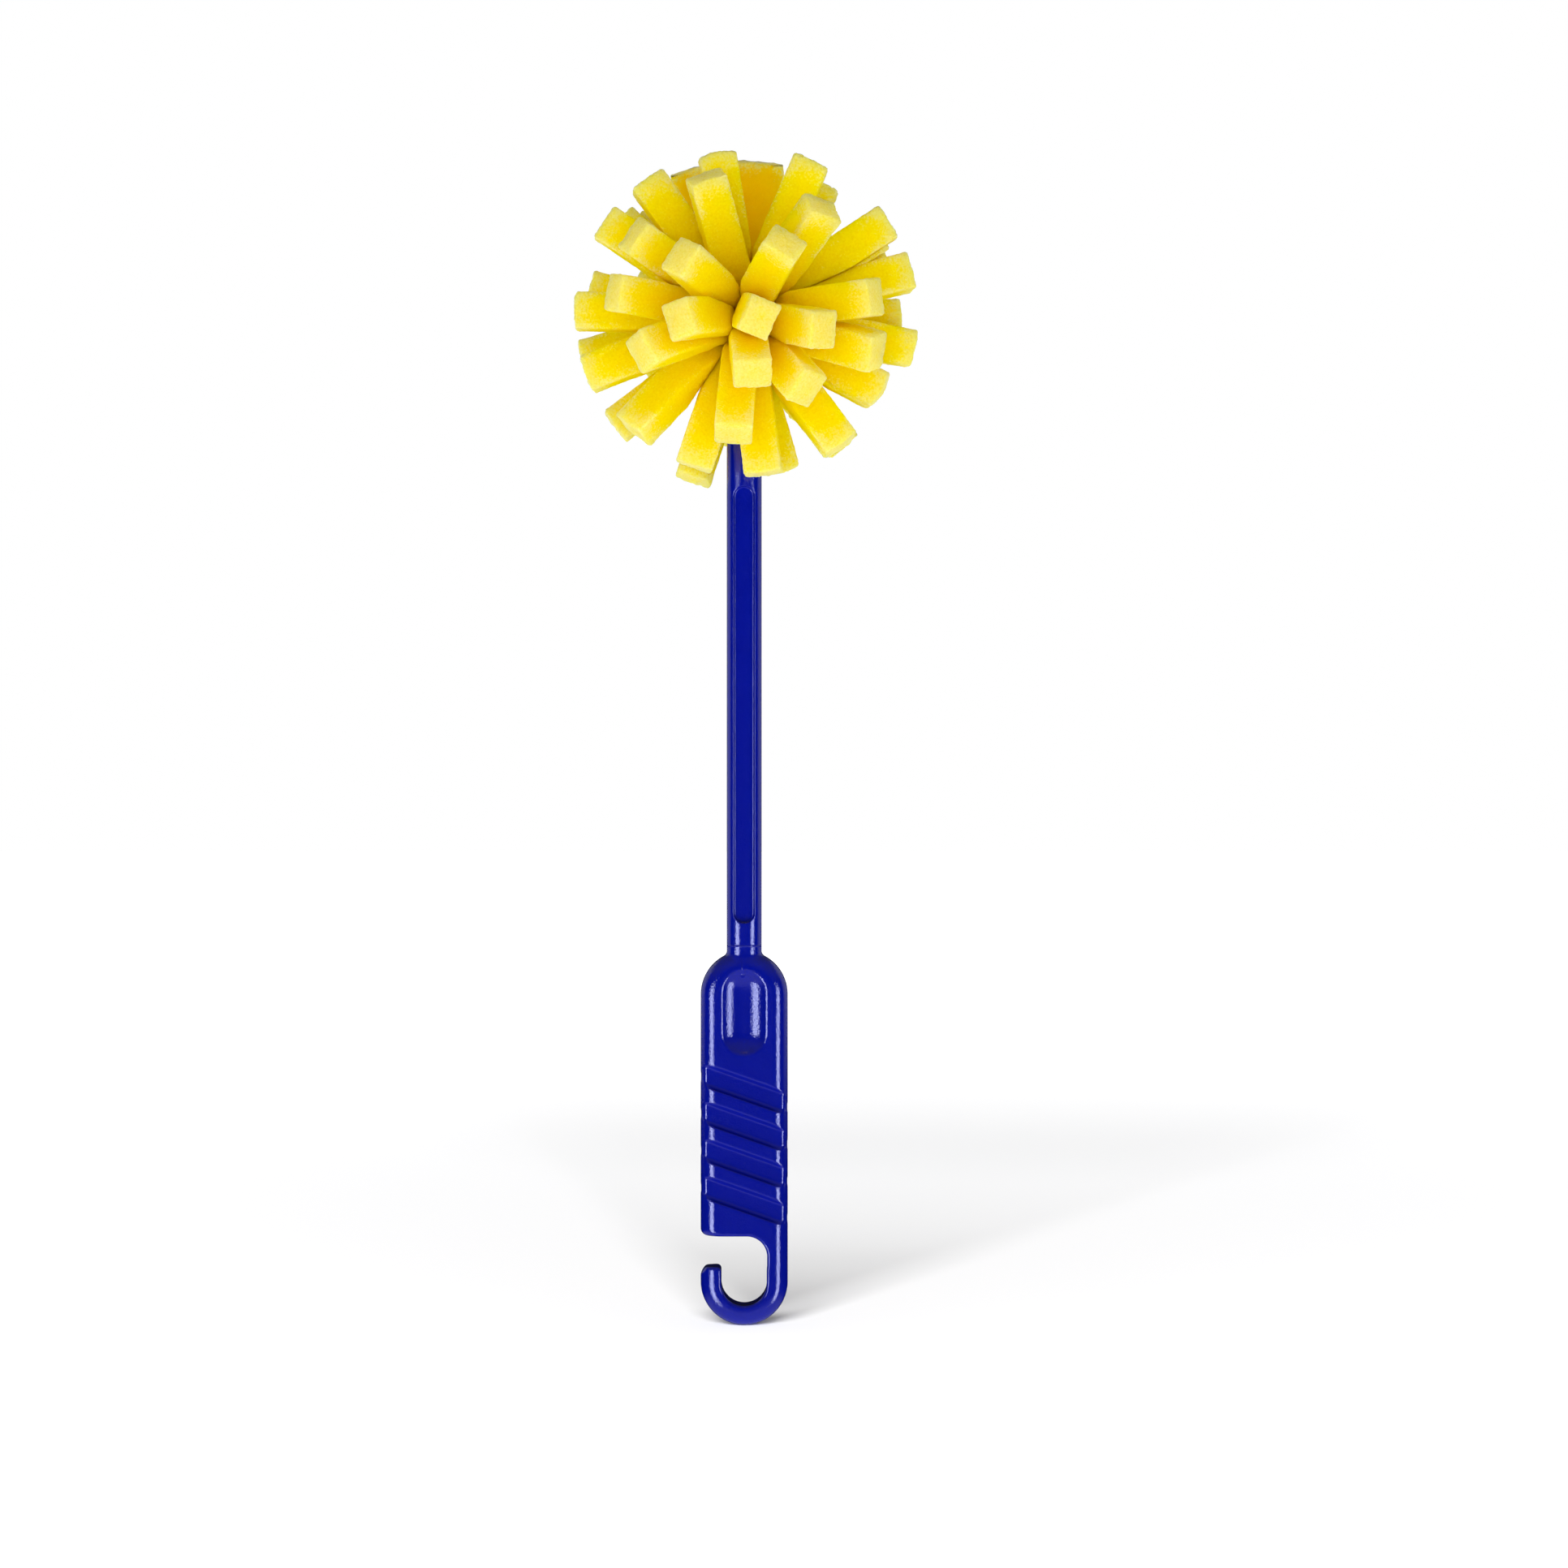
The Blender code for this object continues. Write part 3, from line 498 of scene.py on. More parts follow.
class Arm:
    """Half of a strip: it bends tightly round the eye's rim, then curls gently to its tip."""

    def __init__(self, waist, clock_lean_turn, side, reach, half_sizes, strip):
        clock_deg, lean_deg, turn_deg = clock_lean_turn
        lean = math.radians(lean_deg)
        self.through = np.array((0.0, float(side), 0.0))
        self.waist, self.side, self.strip, self.half_sizes = waist, side, strip, half_sizes
        self.turn = math.radians(turn_deg)
        tip = reach * (math.sin(lean) * on_clock(clock_deg) + math.cos(lean) * self.through)
        chord = tip - waist
        self.radius = eye_rim - np.linalg.norm(waist)
        rise = float(chord @ self.through)
        self.outward = unit(chord - self.through * rise)
        swing = float(chord @ self.outward)
        self.bend = math.atan2(swing, rise)
        for _ in range(AIM_ROUNDS):
            rest_swing = swing - self.radius * (1 - math.cos(self.bend))
            rest_rise = rise - self.radius * math.sin(self.bend)
            toward = math.atan2(rest_swing, rest_rise)
            self.curl = min(CURL, 2 * toward)
            self.bend = toward - self.curl / 2
        self.bend_length = self.radius * self.bend
        self.free_length = math.hypot(rest_swing, rest_rise) / np.sinc(self.curl / math.tau)
        self.length = self.bend_length + self.free_length
        heading = self.bend + self.curl
        self.heading = math.cos(heading) * self.through + math.sin(heading) * self.outward
        counts = int(self.length / TRAIL_SPACING)
        self.lengths = [self.length * i / counts for i in range(counts + 1)]
        spread = half_sizes[1] - STRIP_WIDTH / 2
        spreads = (0.0, spread, -spread) if spread > STRIP_WIDTH / 2 else (0.0,)
        self.lines = [self.line_at(offset) for offset in spreads]

    def line_at(self, offset):
        """A line that starts at the waist and fans out to a sideways offset."""
        points = []
        for length in self.lengths:
            point, _, along_rim = self.place(length)
            share = min(length / (eye_rim + EYE_RADIUS), 1.0)
            points.append(point + along_rim * offset * eased(share))
        return np.array(points)

    def place(self, length):
        """Position, the section's axis across the bend, and the one along the rim."""
        angle = min(length / self.radius, self.bend)
        over = max(length - self.bend_length, 0.0)
        curled = self.curl * over / self.free_length
        chord = over * np.sinc(curled / math.tau)
        toward = self.bend + curled / 2
        rise = self.radius * math.sin(angle) + chord * math.cos(toward)
        swing = self.radius * (1 - math.cos(angle)) + chord * math.sin(toward)
        heading = angle + curled
        across = math.cos(heading) * self.outward - math.sin(heading) * self.through
        along_rim = np.array((-self.outward[2], 0.0, self.outward[0]))
        return self.waist + rise * self.through + swing * self.outward, across, along_rim

    def turned_axes(self, length, clock_start):
        """The section's axes, turned from the waist's own clock to the arm's turn."""
        point, across, along_rim = self.place(length)
        own = math.atan2(self.outward[2], self.outward[0])
        start = (clock_start - own + math.pi) % math.tau - math.pi
        share = eased(min(length / (eye_rim + EYE_RADIUS), 1.0))
        turn = start * (1 - share) + self.turn * share
        first = math.cos(turn) * across + math.sin(turn) * along_rim
        second = math.cos(turn) * along_rim - math.sin(turn) * across
        return point, first, second


def point_tree(points):
    """A search tree that finds the nearest of many points."""
    tree = KDTree(len(points))
    for number, point in enumerate(points):
        tree.insert(point, number)
    tree.balance()
    return tree


def is_free(arm, point):
    """True where a point is nearer to its own arm than to any other, and clear of the handle."""
    if arm.other_lines.find(point)[2] < arm.own_line.find(point)[2] + SEAT_GAP:
        return False
    off_core = math.hypot(math.hypot(point[0], point[2]) - eye_rim, point[1])
    if off_core < EYE_BAR / 2 + EYE_GAP:
        return False
    if point[2] < -EYE_RADIUS and abs(point[0]) < (SHAFT_WIDTH + STRIP_WIDTH) / 2:
        share = min(max((-eye_rim - point[2]) / SHAFT_TIP_TAPER, 0.0), 1.0)
        thick = EYE_BAR / 2 + (SHAFT_THICKNESS / 2 - EYE_BAR / 2) * share + EYE_GAP
        return point[1] * arm.side > thick
    return True


def free_share(arm, point, offset):
    """The largest share of an offset that stays in the arm's own room."""
    step, share = FEEL_STEP, 0.0
    while share + step <= 1.0 and is_free(arm, point + (share + step) * offset):
        share += step
    for _ in range(FEEL_HALVINGS):
        step /= 2
        if share + step <= 1.0 and is_free(arm, point + (share + step) * offset):
            share += step
    return share


def square_place(around):
    """Half-width shares of the point that lies a way, 0 to 8, round the section's square."""
    corners = ((1, 0), (1, 1), (0, 1), (-1, 1), (-1, 0), (-1, -1), (0, -1), (1, -1), (1, 0))
    low = int(around)
    part = around - low
    return tuple(a + (b - a) * part for a, b in zip(corners[low], corners[low + 1]))


def way_round(shares):
    """The way round the section's square, 0 to 8, of points given in half-width shares."""
    p, q = shares[:, 0], shares[:, 1]
    size = np.maximum(np.abs(p), np.abs(q))
    p, q = p / size, q / size
    way = np.where(p >= 1 - 1e-9, q, 0.0)
    way = np.where(q >= 1 - 1e-9, 2 - p, way)
    way = np.where(p <= -1 + 1e-9, 4 - q, way)
    way = np.where(q <= -1 + 1e-9, 6 + p, way)
    return way % 8


def feel_room(arm, clock_start):
    """The room round an arm near the eye, as shares of its section at even stations."""
    way_step = 0.5 if arm.half_sizes[1] < SLAB_WIDTH / 3 else 0.25
    arm.ways = np.arange(0, 8, way_step)
    arm.felt = np.append(np.arange(0.0, FEEL_REACH, FEEL_SPACING), FEEL_FAR + (arm.length,))
    places = [square_place(way) for way in arm.ways]
    thick, wide = arm.half_sizes
    rows = []
    for length in arm.felt:
        point, first, second = arm.turned_axes(length, clock_start)
        rows.append([free_share(arm, point, p * thick * first + q * wide * second)
                     for p, q in places])
    arm.room = np.array(rows)


def room_at(arm, length, ways):
    """The felt room at one length and several ways round the section."""
    after = min(int(np.searchsorted(arm.felt, length)), len(arm.felt) - 1)
    before = max(after - 1, 0)
    span = arm.felt[after] - arm.felt[before]
    part = (length - arm.felt[before]) / span if span else 0.0
    row = arm.room[before] * (1 - part) + arm.room[after] * part
    return np.interp(ways, np.append(arm.ways, 8.0), np.append(row, row[0]))


def strip_outline(half_sizes):
    """Points round a section with rounded corners, in metres."""
    thick, wide = half_sizes
    points = []
    for turn in range(4):
        corner = ((thick, wide), (-thick, wide), (-thick, -wide), (thick, -wide))[turn]
        centre = [c - math.copysign(CORNER_RADIUS, c) for c in corner]
        for i in range(CORNER_STEPS + 1):
            angle = math.radians(90 * turn + 90 * i / CORNER_STEPS)
            points.append((centre[0] + CORNER_RADIUS * math.cos(angle),
                           centre[1] + CORNER_RADIUS * math.sin(angle)))
        side = (wide, thick)[(turn + 1) % 2] - CORNER_RADIUS
        counts = max(int(2 * side / FOAM_STEP), 2)
        along = ((-1, 0), (0, -1), (1, 0), (0, 1))[turn]
        start = points[-1]
        points += [tuple(s + a * 2 * side * i / counts for s, a in zip(start, along))
                   for i in range(1, counts)]
    return np.array(points)


def arm_rings(arm, clock_start, outline, bow, skip_first):
    """Rings from the waist to the tip and over the end's rounded edge to the middle of the
    cut end, each with its distance from the tip and its points' distance from an edge."""
    half = np.array(arm.half_sizes)
    ways = way_round(outline / half)
    to_edge = np.maximum(*(half - np.abs(outline)).T)
    bulge = -bow * ((outline / half) ** 2 @ np.array(BOW_SHARES))
    straight = arm.length - CORNER_RADIUS
    counts = int(straight / FOAM_STEP)
    rings = []
    for i in range(1 if skip_first else 0, counts + 1):
        length = straight * i / counts
        point, first, second = arm.turned_axes(length, clock_start)
        share = room_at(arm, length, ways)[:, None] * outline
        lift = min(max(1 - (straight - length) / BOW_REACH, 0.0), 1.0) ** 2
        ring = point + share[:, :1] * first + share[:, 1:] * second
        ring = ring + (bulge * lift)[:, None] * arm.heading
        rings.append((ring, np.full(len(outline), arm.length - length), to_edge))
    point, first, second = arm.turned_axes(arm.length, clock_start)
    outline = room_at(arm, arm.length, ways)[:, None] * outline
    for i in range(1, CORNER_STEPS + 1):
        angle = math.radians(90 * i / CORNER_STEPS)
        inset = CORNER_RADIUS * (1 - math.cos(angle))
        back = CORNER_RADIUS * (1 - math.sin(angle))
        scaled = outline * (1 - inset / half)
        ring = point + scaled[:, :1] * first + scaled[:, 1:] * second
        ring = ring + (bulge - back)[:, None] * arm.heading
        rings.append((ring, np.full(len(outline), back), to_edge))
    for part in END_RINGS:
        scaled = outline * (1 - CORNER_RADIUS / half) * part
        ring = point + scaled[:, :1] * first + scaled[:, 1:] * second
        ring = ring + (bulge * part ** 2)[:, None] * arm.heading
        inwards = np.full(len(outline), half.min() * (1 - part))
        rings.append((ring, np.zeros(len(outline)), inwards))
    return rings


def skin_rings(name, rings):
    """One closed mesh over a row of rings, with each vertex's distances kept with it."""
    count = len(rings[0][0])
    points = np.concatenate([ring for ring, _, _ in rings])
    to_tip = np.concatenate([tip for _, tip, _ in rings])
    to_edge = np.concatenate([edge for _, _, edge in rings])
    here = np.arange(len(rings) - 1)[:, None] * count + np.arange(count)
    beside = np.arange(len(rings) - 1)[:, None] * count + (np.arange(count) + 1) % count
    quads = np.stack([here, beside, beside + count, here + count], axis=-1).reshape(-1, 4)
    last = (len(rings) - 1) * count
    faces = quads.tolist() + [list(range(count)), list(range(last, last + count))]
    mesh = bpy.data.meshes.new(name)
    mesh.from_pydata(points.tolist(), [], faces)
    for label, values in (("to_tip", to_tip), ("to_edge", to_edge)):
        mesh.attributes.new(label, "FLOAT", "POINT").data.foreach_set("value", values)
    shape = bmesh.new()
    shape.from_mesh(mesh)
    bmesh.ops.recalc_face_normals(shape, faces=shape.faces)
    shape.to_mesh(mesh)
    shape.free()
    made = bpy.data.objects.new(name, mesh)
    bpy.context.scene.collection.objects.link(made)
    return made


def roughen(piece, seed):
    """Small real unevenness of the sawn foam, stronger along the edges and at the ends."""
    mesh = piece.data
    points = vertex_array(mesh)
    normals = np.empty(len(points) * 3)
    mesh.vertices.foreach_get("normal", normals)
    to_tip = np.empty(len(points))
    mesh.attributes["to_tip"].data.foreach_get("value", to_tip)
    push = []
    for point in (points + seed * SEED_STRIDE).tolist():
        tuft = noise.noise([c / TUFT_SIZE for c in point])
        fine = noise.noise([c / FINE_SIZE for c in point])
        broad = noise.noise([c / BROAD_SIZE for c in point])
        push.append(TUFT_SHARE * tuft + fine + broad)
    rise = GRAIN_RISE + (END_RISE - GRAIN_RISE) * np.exp(-to_tip / END_RISE_REACH)
    points += (np.array(push) * rise)[:, None] * normals.reshape(-1, 3)
    mesh.vertices.foreach_set("co", points.ravel())
    mesh.update()
    mesh.shade_smooth()


# The foam's colours, the sizes of its grain and how far the fuzz reaches
FOAM_COLOURS = ("f2d400", "f7df00")
# The pale colours of the fuzz, partly a painted sheen
FUZZ_AND_SHEEN_COLOURS = ("eed25c", "f4df7c")
# A deeper orange yellow: painted shade on the slab behind the strips
PAINTED_SHADE_COLOUR = "ffc900"
CELL_SIZE = 0.0005
FUZZ_SIZE = 0.0006
DRIFT_SIZE = 0.003
PATCH_SIZE = 0.011
TIP_FUZZ = 0.0065
EDGE_FUZZ = 0.0030
EDGE_FUZZ_LENGTH = 0.0260
PALE_EDGE_REACH = 0.0040
RAGGED_FUZZ = 1.6
RAGGED_DRIFT = 0.9
RAGGED_MIDDLE = 1.25


def polyurethane_foam():
    """Open-cell polyurethane foam, dyed yellow. It is matt, its cells show as a fine grain,
    and the sawn edges and ends are paler, where cut cell walls stand up as fuzz, and partly
    by a painted sheen of fibres catching light."""
    made, tree = new_material("polyurethane_foam_yellow")
    place = add_node(tree, "ShaderNodeTexCoord").outputs["Object"]
    to_tip, to_edge, painted_shade = (
        add_node(tree, "ShaderNodeAttribute", {"attribute_name": name}).outputs["Fac"]
        for name in ("to_tip", "to_edge", "painted_shade"))
    # Foam cells are about 0.4 mm across; drawn at 0.5 mm so that they show
    cells = add_node(tree, "ShaderNodeTexVoronoi", {"Scale": 1 / CELL_SIZE}, Vector=place)
    fuzz, drift, patches = (
        add_node(tree, "ShaderNodeTexNoise", {"Scale": 1 / size, "Detail": detail},
                 Vector=place).outputs["Fac"]
        for size, detail in ((FUZZ_SIZE, 3.0), (DRIFT_SIZE, 3.0), (PATCH_SIZE, 1.0)))
    # The fuzz fades out over 6.5 mm from a cut end and over 3 mm from a sawn edge, with a
    # ragged border. Along the edges it is raised by handling, in patches and near the ends.
    at_tip, at_edge, near_tip = (
        add_node(tree, "ShaderNodeMapRange", {"From Max": reach, "To Min": 1.0, "To Max": 0.0},
                 Value=distance).outputs["Result"]
        for distance, reach in ((to_tip, TIP_FUZZ), (to_edge, EDGE_FUZZ),
                                (to_tip, EDGE_FUZZ_LENGTH)))
    handled = add_node(tree, "ShaderNodeMapRange", {"From Min": 0.32, "From Max": 0.60},
                       Value=patches)
    at_edge = add_node(tree, "ShaderNodeMath", {"operation": "MULTIPLY"}, _0=at_edge, _1=near_tip)
    at_edge = add_node(tree, "ShaderNodeMath", {"operation": "MULTIPLY"},
                       _0=at_edge.outputs[0], _1=handled.outputs["Result"])
    both = add_node(tree, "ShaderNodeMath", {"operation": "MULTIPLY"},
                    _0=at_tip, _1=at_edge.outputs[0])
    either = add_node(tree, "ShaderNodeMath", {"operation": "ADD"},
                      _0=at_tip, _1=at_edge.outputs[0])
    either = add_node(tree, "ShaderNodeMath", {"operation": "SUBTRACT"},
                      _0=either.outputs[0], _1=both.outputs[0])
    ragged = add_node(tree, "ShaderNodeMath", {"operation": "MULTIPLY_ADD"},
                      _0=fuzz, _1=RAGGED_FUZZ, _2=either.outputs[0])
    ragged = add_node(tree, "ShaderNodeMath", {"operation": "MULTIPLY_ADD"},
                      _0=drift, _1=RAGGED_DRIFT, _2=ragged.outputs[0])
    ragged = add_node(tree, "ShaderNodeMath", {"operation": "SUBTRACT"},
                      _0=ragged.outputs[0], _1=RAGGED_MIDDLE)
    spread = add_node(tree, "ShaderNodeMapRange",
                      {"From Min": 0.20, "From Max": 0.95, "interpolation_type": "SMOOTHSTEP"},
                      Value=ragged.outputs[0])
    # The middle of a cut end is drawn less pale than its edges
    edge_paleness = add_node(tree, "ShaderNodeMapRange",
                    {"From Max": PALE_EDGE_REACH, "To Min": 1.0, "To Max": 0.70}, Value=to_edge)
    pale_fuzz_and_sheen = add_node(tree, "ShaderNodeMath", {"operation": "MULTIPLY"},
                    _0=spread.outputs["Result"], _1=edge_paleness.outputs["Result"])
    grain = add_node(tree, "ShaderNodeMapRange", {"From Min": 0.3, "From Max": 0.7}, Value=fuzz)
    deep, light = (
        add_node(tree, "ShaderNodeMix", {"data_type": "RGBA"}, Factor=grain.outputs["Result"],
                 _6=linear(darker), _7=linear(lighter))
        for darker, lighter in (FOAM_COLOURS, FUZZ_AND_SHEEN_COLOURS))
    # Behind, the slab takes the deeper orange yellow, a painted shade
    with_painted_shade = add_node(tree, "ShaderNodeMix", {"data_type": "RGBA"}, Factor=painted_shade,
                       _6=deep.outputs[2], _7=linear(PAINTED_SHADE_COLOUR))
    # Where the fuzz is, the colour is paler, partly a painted sheen of fibres catching light
    colour = add_node(tree, "ShaderNodeMix", {"data_type": "RGBA"}, Factor=pale_fuzz_and_sheen.outputs[0],
                      _6=with_painted_shade.outputs[2], _7=light.outputs[2])
    pores = add_node(tree, "ShaderNodeBump", {"Strength": 0.5, "Distance": 0.0002},
                     Height=cells.outputs["Distance"])
    bumps = add_node(tree, "ShaderNodeBump", {"Strength": 0.6, "Distance": 0.0002},
                     Height=fuzz, Normal=pores.outputs["Normal"])
    shader = add_node(tree, "ShaderNodeBsdfPrincipled",
                      {"Roughness": 1.0, "Specular IOR Level": 0.02, "Subsurface Weight": 1.0,
                       "Subsurface Radius": (1.0, 0.85, 0.3), "Subsurface Scale": 0.012},
                      Base_Color=colour.outputs[2], Normal=bumps.outputs["Normal"])
    add_node(tree, "ShaderNodeOutputMaterial", Surface=shader.outputs["BSDF"])
    return made


def waist_of(clock_deg, lean_deg):
    """Where an arm passes the eye: the more it leans, the nearer to the ring."""
    return WAIST_RADIUS * math.sqrt(1 - math.cos(math.radians(lean_deg))) * on_clock(clock_deg)


def lay_strips():
    """Every arm of the head, so that each can be pressed in by the others."""
    sizes = (STRIP_THICKNESS / 2, STRIP_WIDTH / 2)
    arms_of = {}
    for name, (front, rear) in STRIPS.items():
        reach = HEAD_RADIUS * REACH_SHARES.get(name, 1.0)
        waist = waist_of(front[0], front[1])
        arms_of[name] = [Arm(waist, front, -1, reach, sizes, name),
                         Arm(waist, rear, 1, reach, sizes, name)]
    waists = [waist_of(front[0], front[1]) for front in SLAB_FRONT_ARMS]
    reach = HEAD_RADIUS * REACH_SHARES[SLAB_NAME]
    arms_of[SLAB_NAME] = [Arm(waist, front, -1, reach, sizes, SLAB_NAME)
                          for waist, front in zip(waists, SLAB_FRONT_ARMS)]
    slab_sizes = (STRIP_THICKNESS / 2, SLAB_WIDTH / 2)
    middle = (waists[0] + waists[1]) / 2
    rear_reach = HEAD_RADIUS * SLAB_REAR_REACH_SHARE
    arms_of[SLAB_NAME].append(Arm(middle, SLAB_REAR_ARM, 1, rear_reach, slab_sizes, SLAB_NAME))
    arms = [arm for own in arms_of.values() for arm in own]
    near_waist = int(EYE_BAR / TRAIL_SPACING)
    for arm in arms:
        own, foreign = list(arm.lines), []
        for other in arms:
            if other is not arm and other.strip == arm.strip and other.side != arm.side:
                own += [line[:near_waist] for line in other.lines]
                foreign += [line[near_waist:] for line in other.lines]
            elif other is not arm:
                foreign += other.lines
        arm.own_line = point_tree(np.concatenate(own))
        arm.other_lines = point_tree(np.concatenate(foreign))
    return arms_of


arms_of_strips = lay_strips()
foam_material = polyurethane_foam()
eye_centre = np.array((0.0, 0.0, EYE_HEIGHT))


def raised(rings):
    """Rings laid round the eye's middle, moved up to where it is."""
    return [(ring + eye_centre, tip, edge) for ring, tip, edge in rings]


def finish_foam(piece, node_name, seed):
    """Roughens a foam piece, gives it its material and ties it to the model."""
    roughen(piece, seed)
    piece.data.materials.clear()
    piece.data.materials.append(foam_material)
    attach(piece, "root")
    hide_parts(node_name)


for number, name in enumerate(STRIPS):
    front, rear = arms_of_strips[name]
    clock = math.atan2(front.waist[2], front.waist[0])
    for arm in (front, rear):
        feel_room(arm, clock)
    # At the waist both arms share one section
    front.room[0] = rear.room[0] = (front.room[0] + rear.room[0]) / 2
    outline = strip_outline(front.half_sizes)
    front_bow, rear_bow = END_BOWS.get(name, USUAL_BOWS)
    rows = arm_rings(rear, clock, outline, rear_bow, True)[::-1]
    rows += arm_rings(front, clock, outline, front_bow, False)
    finish_foam(skin_rings(name.replace("foam_", "sawn_"), raised(rows)), name, number)

# Uncut slab
# A piece of the same foam, at the top, that the saw left whole: one wide slab behind, which
# the cut divides into two strips in front. It passes the eye in one piece, so its arms are
# joined there.
SLAB_END_BOW = 0.0030
SLAB_ROOT_SHARE = 0.7
SLAB_ARM_BOWS = (0.0003, 0.0009)
# How far behind the eye the slab's painted shade grows to full strength
PAINTED_SHADE_REACH = 0.006


def make_slab():
    """The rear slab with both front arms grown together with it at the eye."""
    rear = arms_of_strips[SLAB_NAME][-1]
    clock = math.atan2(rear.waist[2], rear.waist[0])
    feel_room(rear, clock)
    rings = arm_rings(rear, clock, strip_outline(rear.half_sizes), SLAB_END_BOW, False)
    slab = skin_rings("sawn_slab_uncut", raised(rings))
    arm_bodies = []
    for front, bow in zip(arms_of_strips[SLAB_NAME], SLAB_ARM_BOWS):
        clock = math.atan2(front.waist[2], front.waist[0])
        feel_room(front, clock)
        rings = arm_rings(front, clock, strip_outline(front.half_sizes), bow, False)
        middle, tip, edge = rings[0]
        centre = middle.mean(axis=0)
        root = centre + (middle - centre) * SLAB_ROOT_SHARE + rear.through * EYE_BAR / 4
        arm_body = skin_rings("slab_arm", raised([(root, tip, edge)] + rings))
        union = slab.modifiers.new("grown_together", "BOOLEAN")
        union.operation, union.solver, union.object = "UNION", "EXACT", arm_body
        arm_bodies.append(arm_body)
    # The union drops the distances, so each vertex takes those of the nearest one from before
    sources = [slab] + arm_bodies
    near = point_tree(np.concatenate([vertex_array(source.data) for source in sources]))
    marks = {}
    for label in ("to_tip", "to_edge"):
        rows = []
        for source in sources:
            row = np.empty(len(source.data.vertices))
            source.data.attributes[label].data.foreach_get("value", row)
            rows.append(row)
        marks[label] = np.concatenate(rows)
    bpy.context.view_layer.update()
    evaluated = slab.evaluated_get(bpy.context.evaluated_depsgraph_get())
    slab.data = bpy.data.meshes.new_from_object(evaluated)
    slab.modifiers.clear()
    for arm_body in arm_bodies:
        bpy.data.objects.remove(arm_body, do_unlink=True)
    points = vertex_array(slab.data)
    nearest = [near.find(point)[1] for point in points]
    for label, values in marks.items():
        held = slab.data.attributes.get(label) or slab.data.attributes.new(label, "FLOAT", "POINT")
        held.data.foreach_set("value", values[nearest])
    # Behind, the slab is painted a deeper orange yellow: painted shade where the strips in front
    # shade it
    behind = np.clip(points[:, 1] / PAINTED_SHADE_REACH, 0.0, 1.0)
    slab.data.attributes.new("painted_shade", "FLOAT", "POINT").data.foreach_set("value", behind)
    return slab


finish_foam(make_slab(), SLAB_NAME, len(STRIPS))

# Floor and surroundings
# A white paper sweep in a dim studio. The floor keeps the mop's soft shadow, and farther off
# it runs out into white. What is glossy sees the dim room, and what is matt gets a soft fill.
FLOOR_HALF = 8.0
FLOOR_BELOW = 0.0001
FLOOR_CUTS = 16
PAPER_COLOUR = "efeff0"
WHITE = "ffffff"
FLOOR_WHITE_AT = 1.8
FLOOR_GLOW = 0.90
ROOM_LEVEL = 0.005
CEILING_LEVEL = 0.13
FLOOR_GLEAM = 0.30
FILL_BELOW = 0.34
FILL_ABOVE = 0.18


def floor_material():
    """Matt white studio paper. Near the mop its own tone shows the shadow; farther off it
    runs out into the white of the surroundings."""
    made, tree = new_material("white_paper_sweep")
    paper = add_node(tree, "ShaderNodeBsdfDiffuse", {"Color": linear(PAPER_COLOUR)})
    place = add_node(tree, "ShaderNodeNewGeometry").outputs["Position"]
    far = add_node(tree, "ShaderNodeVectorMath", {"operation": "LENGTH"}, _0=place)
    lift = add_node(tree, "ShaderNodeMapRange", {"From Max": FLOOR_WHITE_AT, "To Max": FLOOR_GLOW},
                    Value=far.outputs["Value"])
    seen = add_node(tree, "ShaderNodeLightPath")
    strength = add_node(tree, "ShaderNodeMath", {"operation": "MULTIPLY"},
                        _0=lift.outputs["Result"], _1=seen.outputs["Is Camera Ray"])
    glow = add_node(tree, "ShaderNodeEmission", {"Color": linear(WHITE)},
                    Strength=strength.outputs[0])
    both = add_node(tree, "ShaderNodeAddShader", _0=paper.outputs[0], _1=glow.outputs[0])
    add_node(tree, "ShaderNodeOutputMaterial", Surface=both.outputs[0])
    return made


def make_floor():
    """A flat sheet of paper."""
    shape = bmesh.new()
    bmesh.ops.create_grid(shape, x_segments=FLOOR_CUTS, y_segments=FLOOR_CUTS, size=FLOOR_HALF)
    mesh = bpy.data.meshes.new("paper_floor")
    shape.to_mesh(mesh)
    shape.free()
    made = bpy.data.objects.new("paper_floor", mesh)
    made.location = (0.0, 0.0, cad_low.z - FLOOR_BELOW)
    made.visible_glossy = False
    bpy.context.scene.collection.objects.link(made)
    return made


floor = make_floor()
floor.data.materials.append(floor_material())


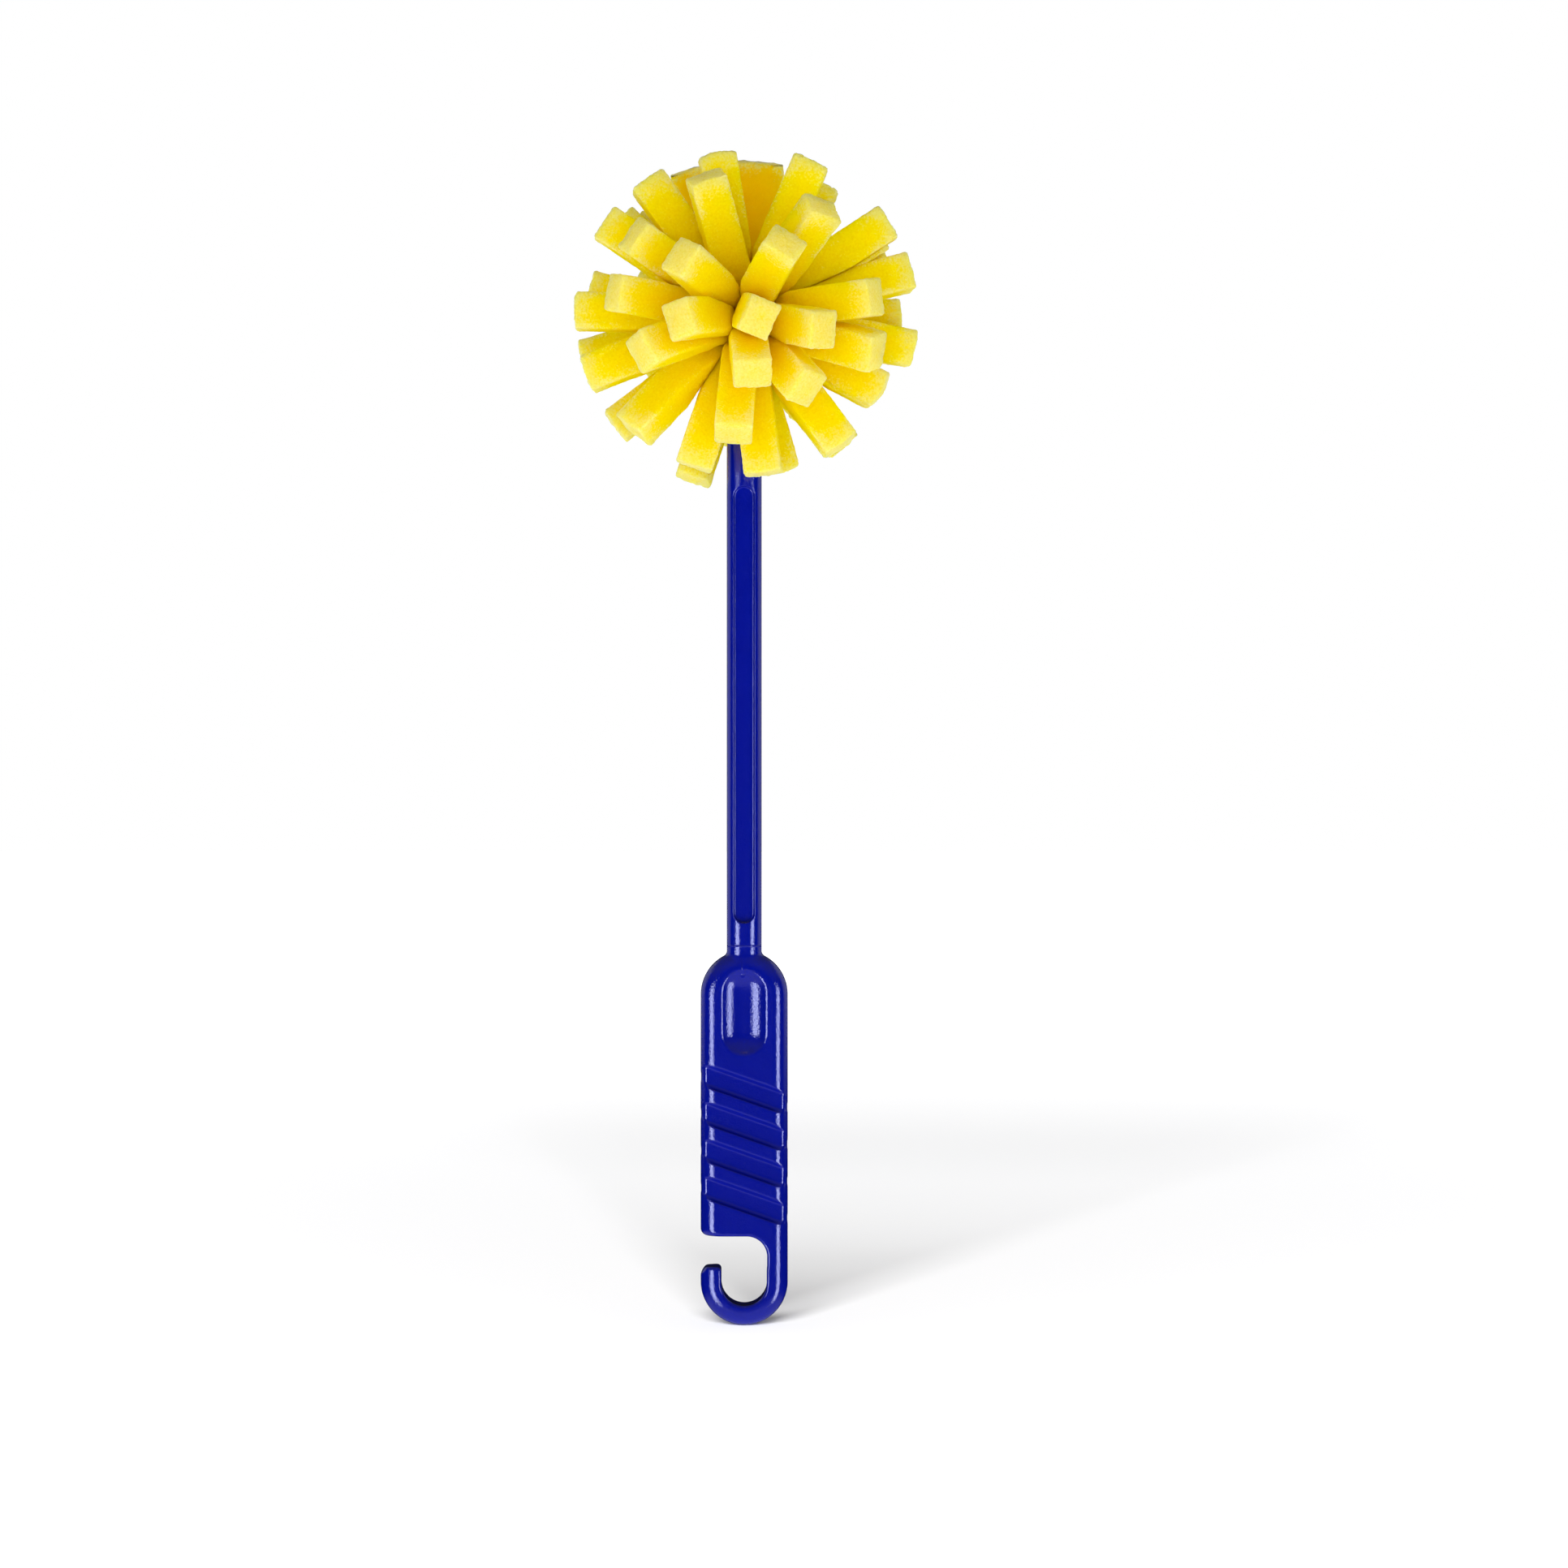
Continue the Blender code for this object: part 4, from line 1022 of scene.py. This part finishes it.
def surroundings():
    """The studio round the mop. Glossy rays see a dim room, lighter overhead and towards the
    lit floor; matt surfaces get a fill, stronger from the floor; the camera sees white."""
    world = bpy.data.worlds.new("studio")
    world.use_nodes = True
    tree = world.node_tree
    tree.nodes.clear()
    way = add_node(tree, "ShaderNodeTexCoord").outputs["Generated"]
    height = add_node(tree, "ShaderNodeSeparateXYZ", Vector=way).outputs["Z"]
    seen = add_node(tree, "ShaderNodeLightPath")
    room, gleam, fill = (
        add_node(tree, "ShaderNodeMapRange",
                 {"From Min": start, "From Max": stop, "To Min": first, "To Max": last,
                  "interpolation_type": "SMOOTHSTEP"}, Value=height).outputs["Result"]
        for start, stop, first, last in ((0.1, 0.7, ROOM_LEVEL, CEILING_LEVEL),
                                         (-0.3, -0.6, 0.0, FLOOR_GLEAM),
                                         (0.0, 0.6, FILL_BELOW, FILL_ABOVE)))
    matt = add_node(tree, "ShaderNodeMath", {"operation": "MULTIPLY"},
                    _0=fill, _1=seen.outputs["Is Diffuse Ray"])
    strength = room
    for level in (gleam, matt.outputs[0], seen.outputs["Is Camera Ray"]):
        strength = add_node(tree, "ShaderNodeMath", {"operation": "MAXIMUM"},
                            _0=strength, _1=level).outputs[0]
    light = add_node(tree, "ShaderNodeBackground", {"Color": linear(WHITE)}, Strength=strength)
    add_node(tree, "ShaderNodeOutputWorld", Surface=light.outputs[0])
    bpy.context.scene.world = world


surroundings()

# Lamps
# Two low softboxes beside the camera are there for the plastic's highlights alone, and two
# dim cards behind the mop edge the shaft. Foam, handle and floor have matt lamps of their own,
# so that each comes out in its written colour, and the floor's one throws the wide shadow.
SOFTBOX_COLOUR = "d0d7ff"

# Each lamp: width, height, distance from the mop's axis and height of its middle in metres,
# its angle round the mop in degrees, 0 in front, and its watts
GLOSS_LAMPS = {
    "softbox_left": (0.50, 1.00, 1.20, -0.25, -44, 14.0),
    "softbox_right": (0.38, 1.00, 1.20, -0.25, 55, 10.5),
}
EDGE_CARDS = {
    "card_left": (0.65, 0.60, 0.70, 0.33, -125, 0.55),
    "card_right": (0.65, 0.60, 0.70, 0.33, 125, 0.50),
}
FOAM_LAMPS = {
    "side_lamp_left": (0.60, 1.30, 1.20, 0.45, -50, 2.4),
    "side_lamp_right": (0.60, 1.30, 1.20, 0.45, 50, 2.7),
    "front_screen": (1.40, 1.40, 1.90, 0.65, 0, 4.0),
    "top_lamp": (1.20, 0.80, 1.00, 1.30, 0, 4.8),
    "back_screen": (1.40, 1.40, 1.90, 0.65, 180, 4.5),
}
HANDLE_LAMPS = {
    "low_side_lamp_left": (0.60, 1.00, 1.20, -0.45, -50, 4.0),
    "low_side_lamp_right": (0.60, 1.00, 1.20, -0.45, 50, 4.0),
    "low_front_screen": (1.40, 1.00, 1.90, -0.65, 0, 14.5),
    "low_back_screen": (1.40, 1.00, 1.90, -0.65, 180, 12.0),
}
FLOOR_LAMPS = {"floor_lamp": (1.60, 1.50, 3.00, 1.10, -6, 334.0)}


def lit_pieces(name, pieces, left_out=False):
    """A collection for light linking: the pieces that lamps light, or that they leave out."""
    made = bpy.data.collections.new(name)
    for piece in pieces:
        made.objects.link(piece)
    if left_out:
        for piece in made.collection_objects:
            piece.light_linking.link_state = "EXCLUDE"
    return made


floor_only = lit_pieces("floor_only", [floor])
all_but_floor = lit_pieces("all_but_floor", [floor], left_out=True)
handle_only = lit_pieces("handle_only", [handle])
foam_only = lit_pieces("foam_only", [floor, handle], left_out=True)


def add_lamps(lamps, lights, gloss=False, matt=True, colour=WHITE):
    """Upright lamps that face the mop and light the pieces of one collection."""
    for name, (width, height, distance, middle, angle_deg, watts) in lamps.items():
        lamp = bpy.data.lights.new(name, "AREA")
        lamp.shape = "RECTANGLE"
        lamp.size, lamp.size_y = width, height
        lamp.energy = watts
        lamp.color = linear(colour)[:3]
        made = bpy.data.objects.new(name, lamp)
        angle = math.radians(angle_deg)
        made.location = (distance * math.sin(angle), -distance * math.cos(angle), middle)
        made.rotation_euler = (math.radians(90), 0.0, angle)
        made.visible_camera = False
        made.visible_glossy = gloss
        made.visible_diffuse = matt
        made.light_linking.receiver_collection = lights
        if lights is not floor_only:
            made.light_linking.blocker_collection = all_but_floor
        bpy.context.scene.collection.objects.link(made)


add_lamps(GLOSS_LAMPS, all_but_floor, gloss=True, matt=False, colour=SOFTBOX_COLOUR)
add_lamps(EDGE_CARDS, all_but_floor, gloss=True)
add_lamps(FOAM_LAMPS, foam_only)
add_lamps(HANDLE_LAMPS, handle_only)
add_lamps(FLOOR_LAMPS, floor_only)
bpy.context.scene.view_settings.view_transform = "Standard"
# Light wanders many times between the strips, which turns it orange deep in the head
bpy.context.scene.cycles.diffuse_bounces = 12
bpy.context.scene.cycles.max_bounces = 16
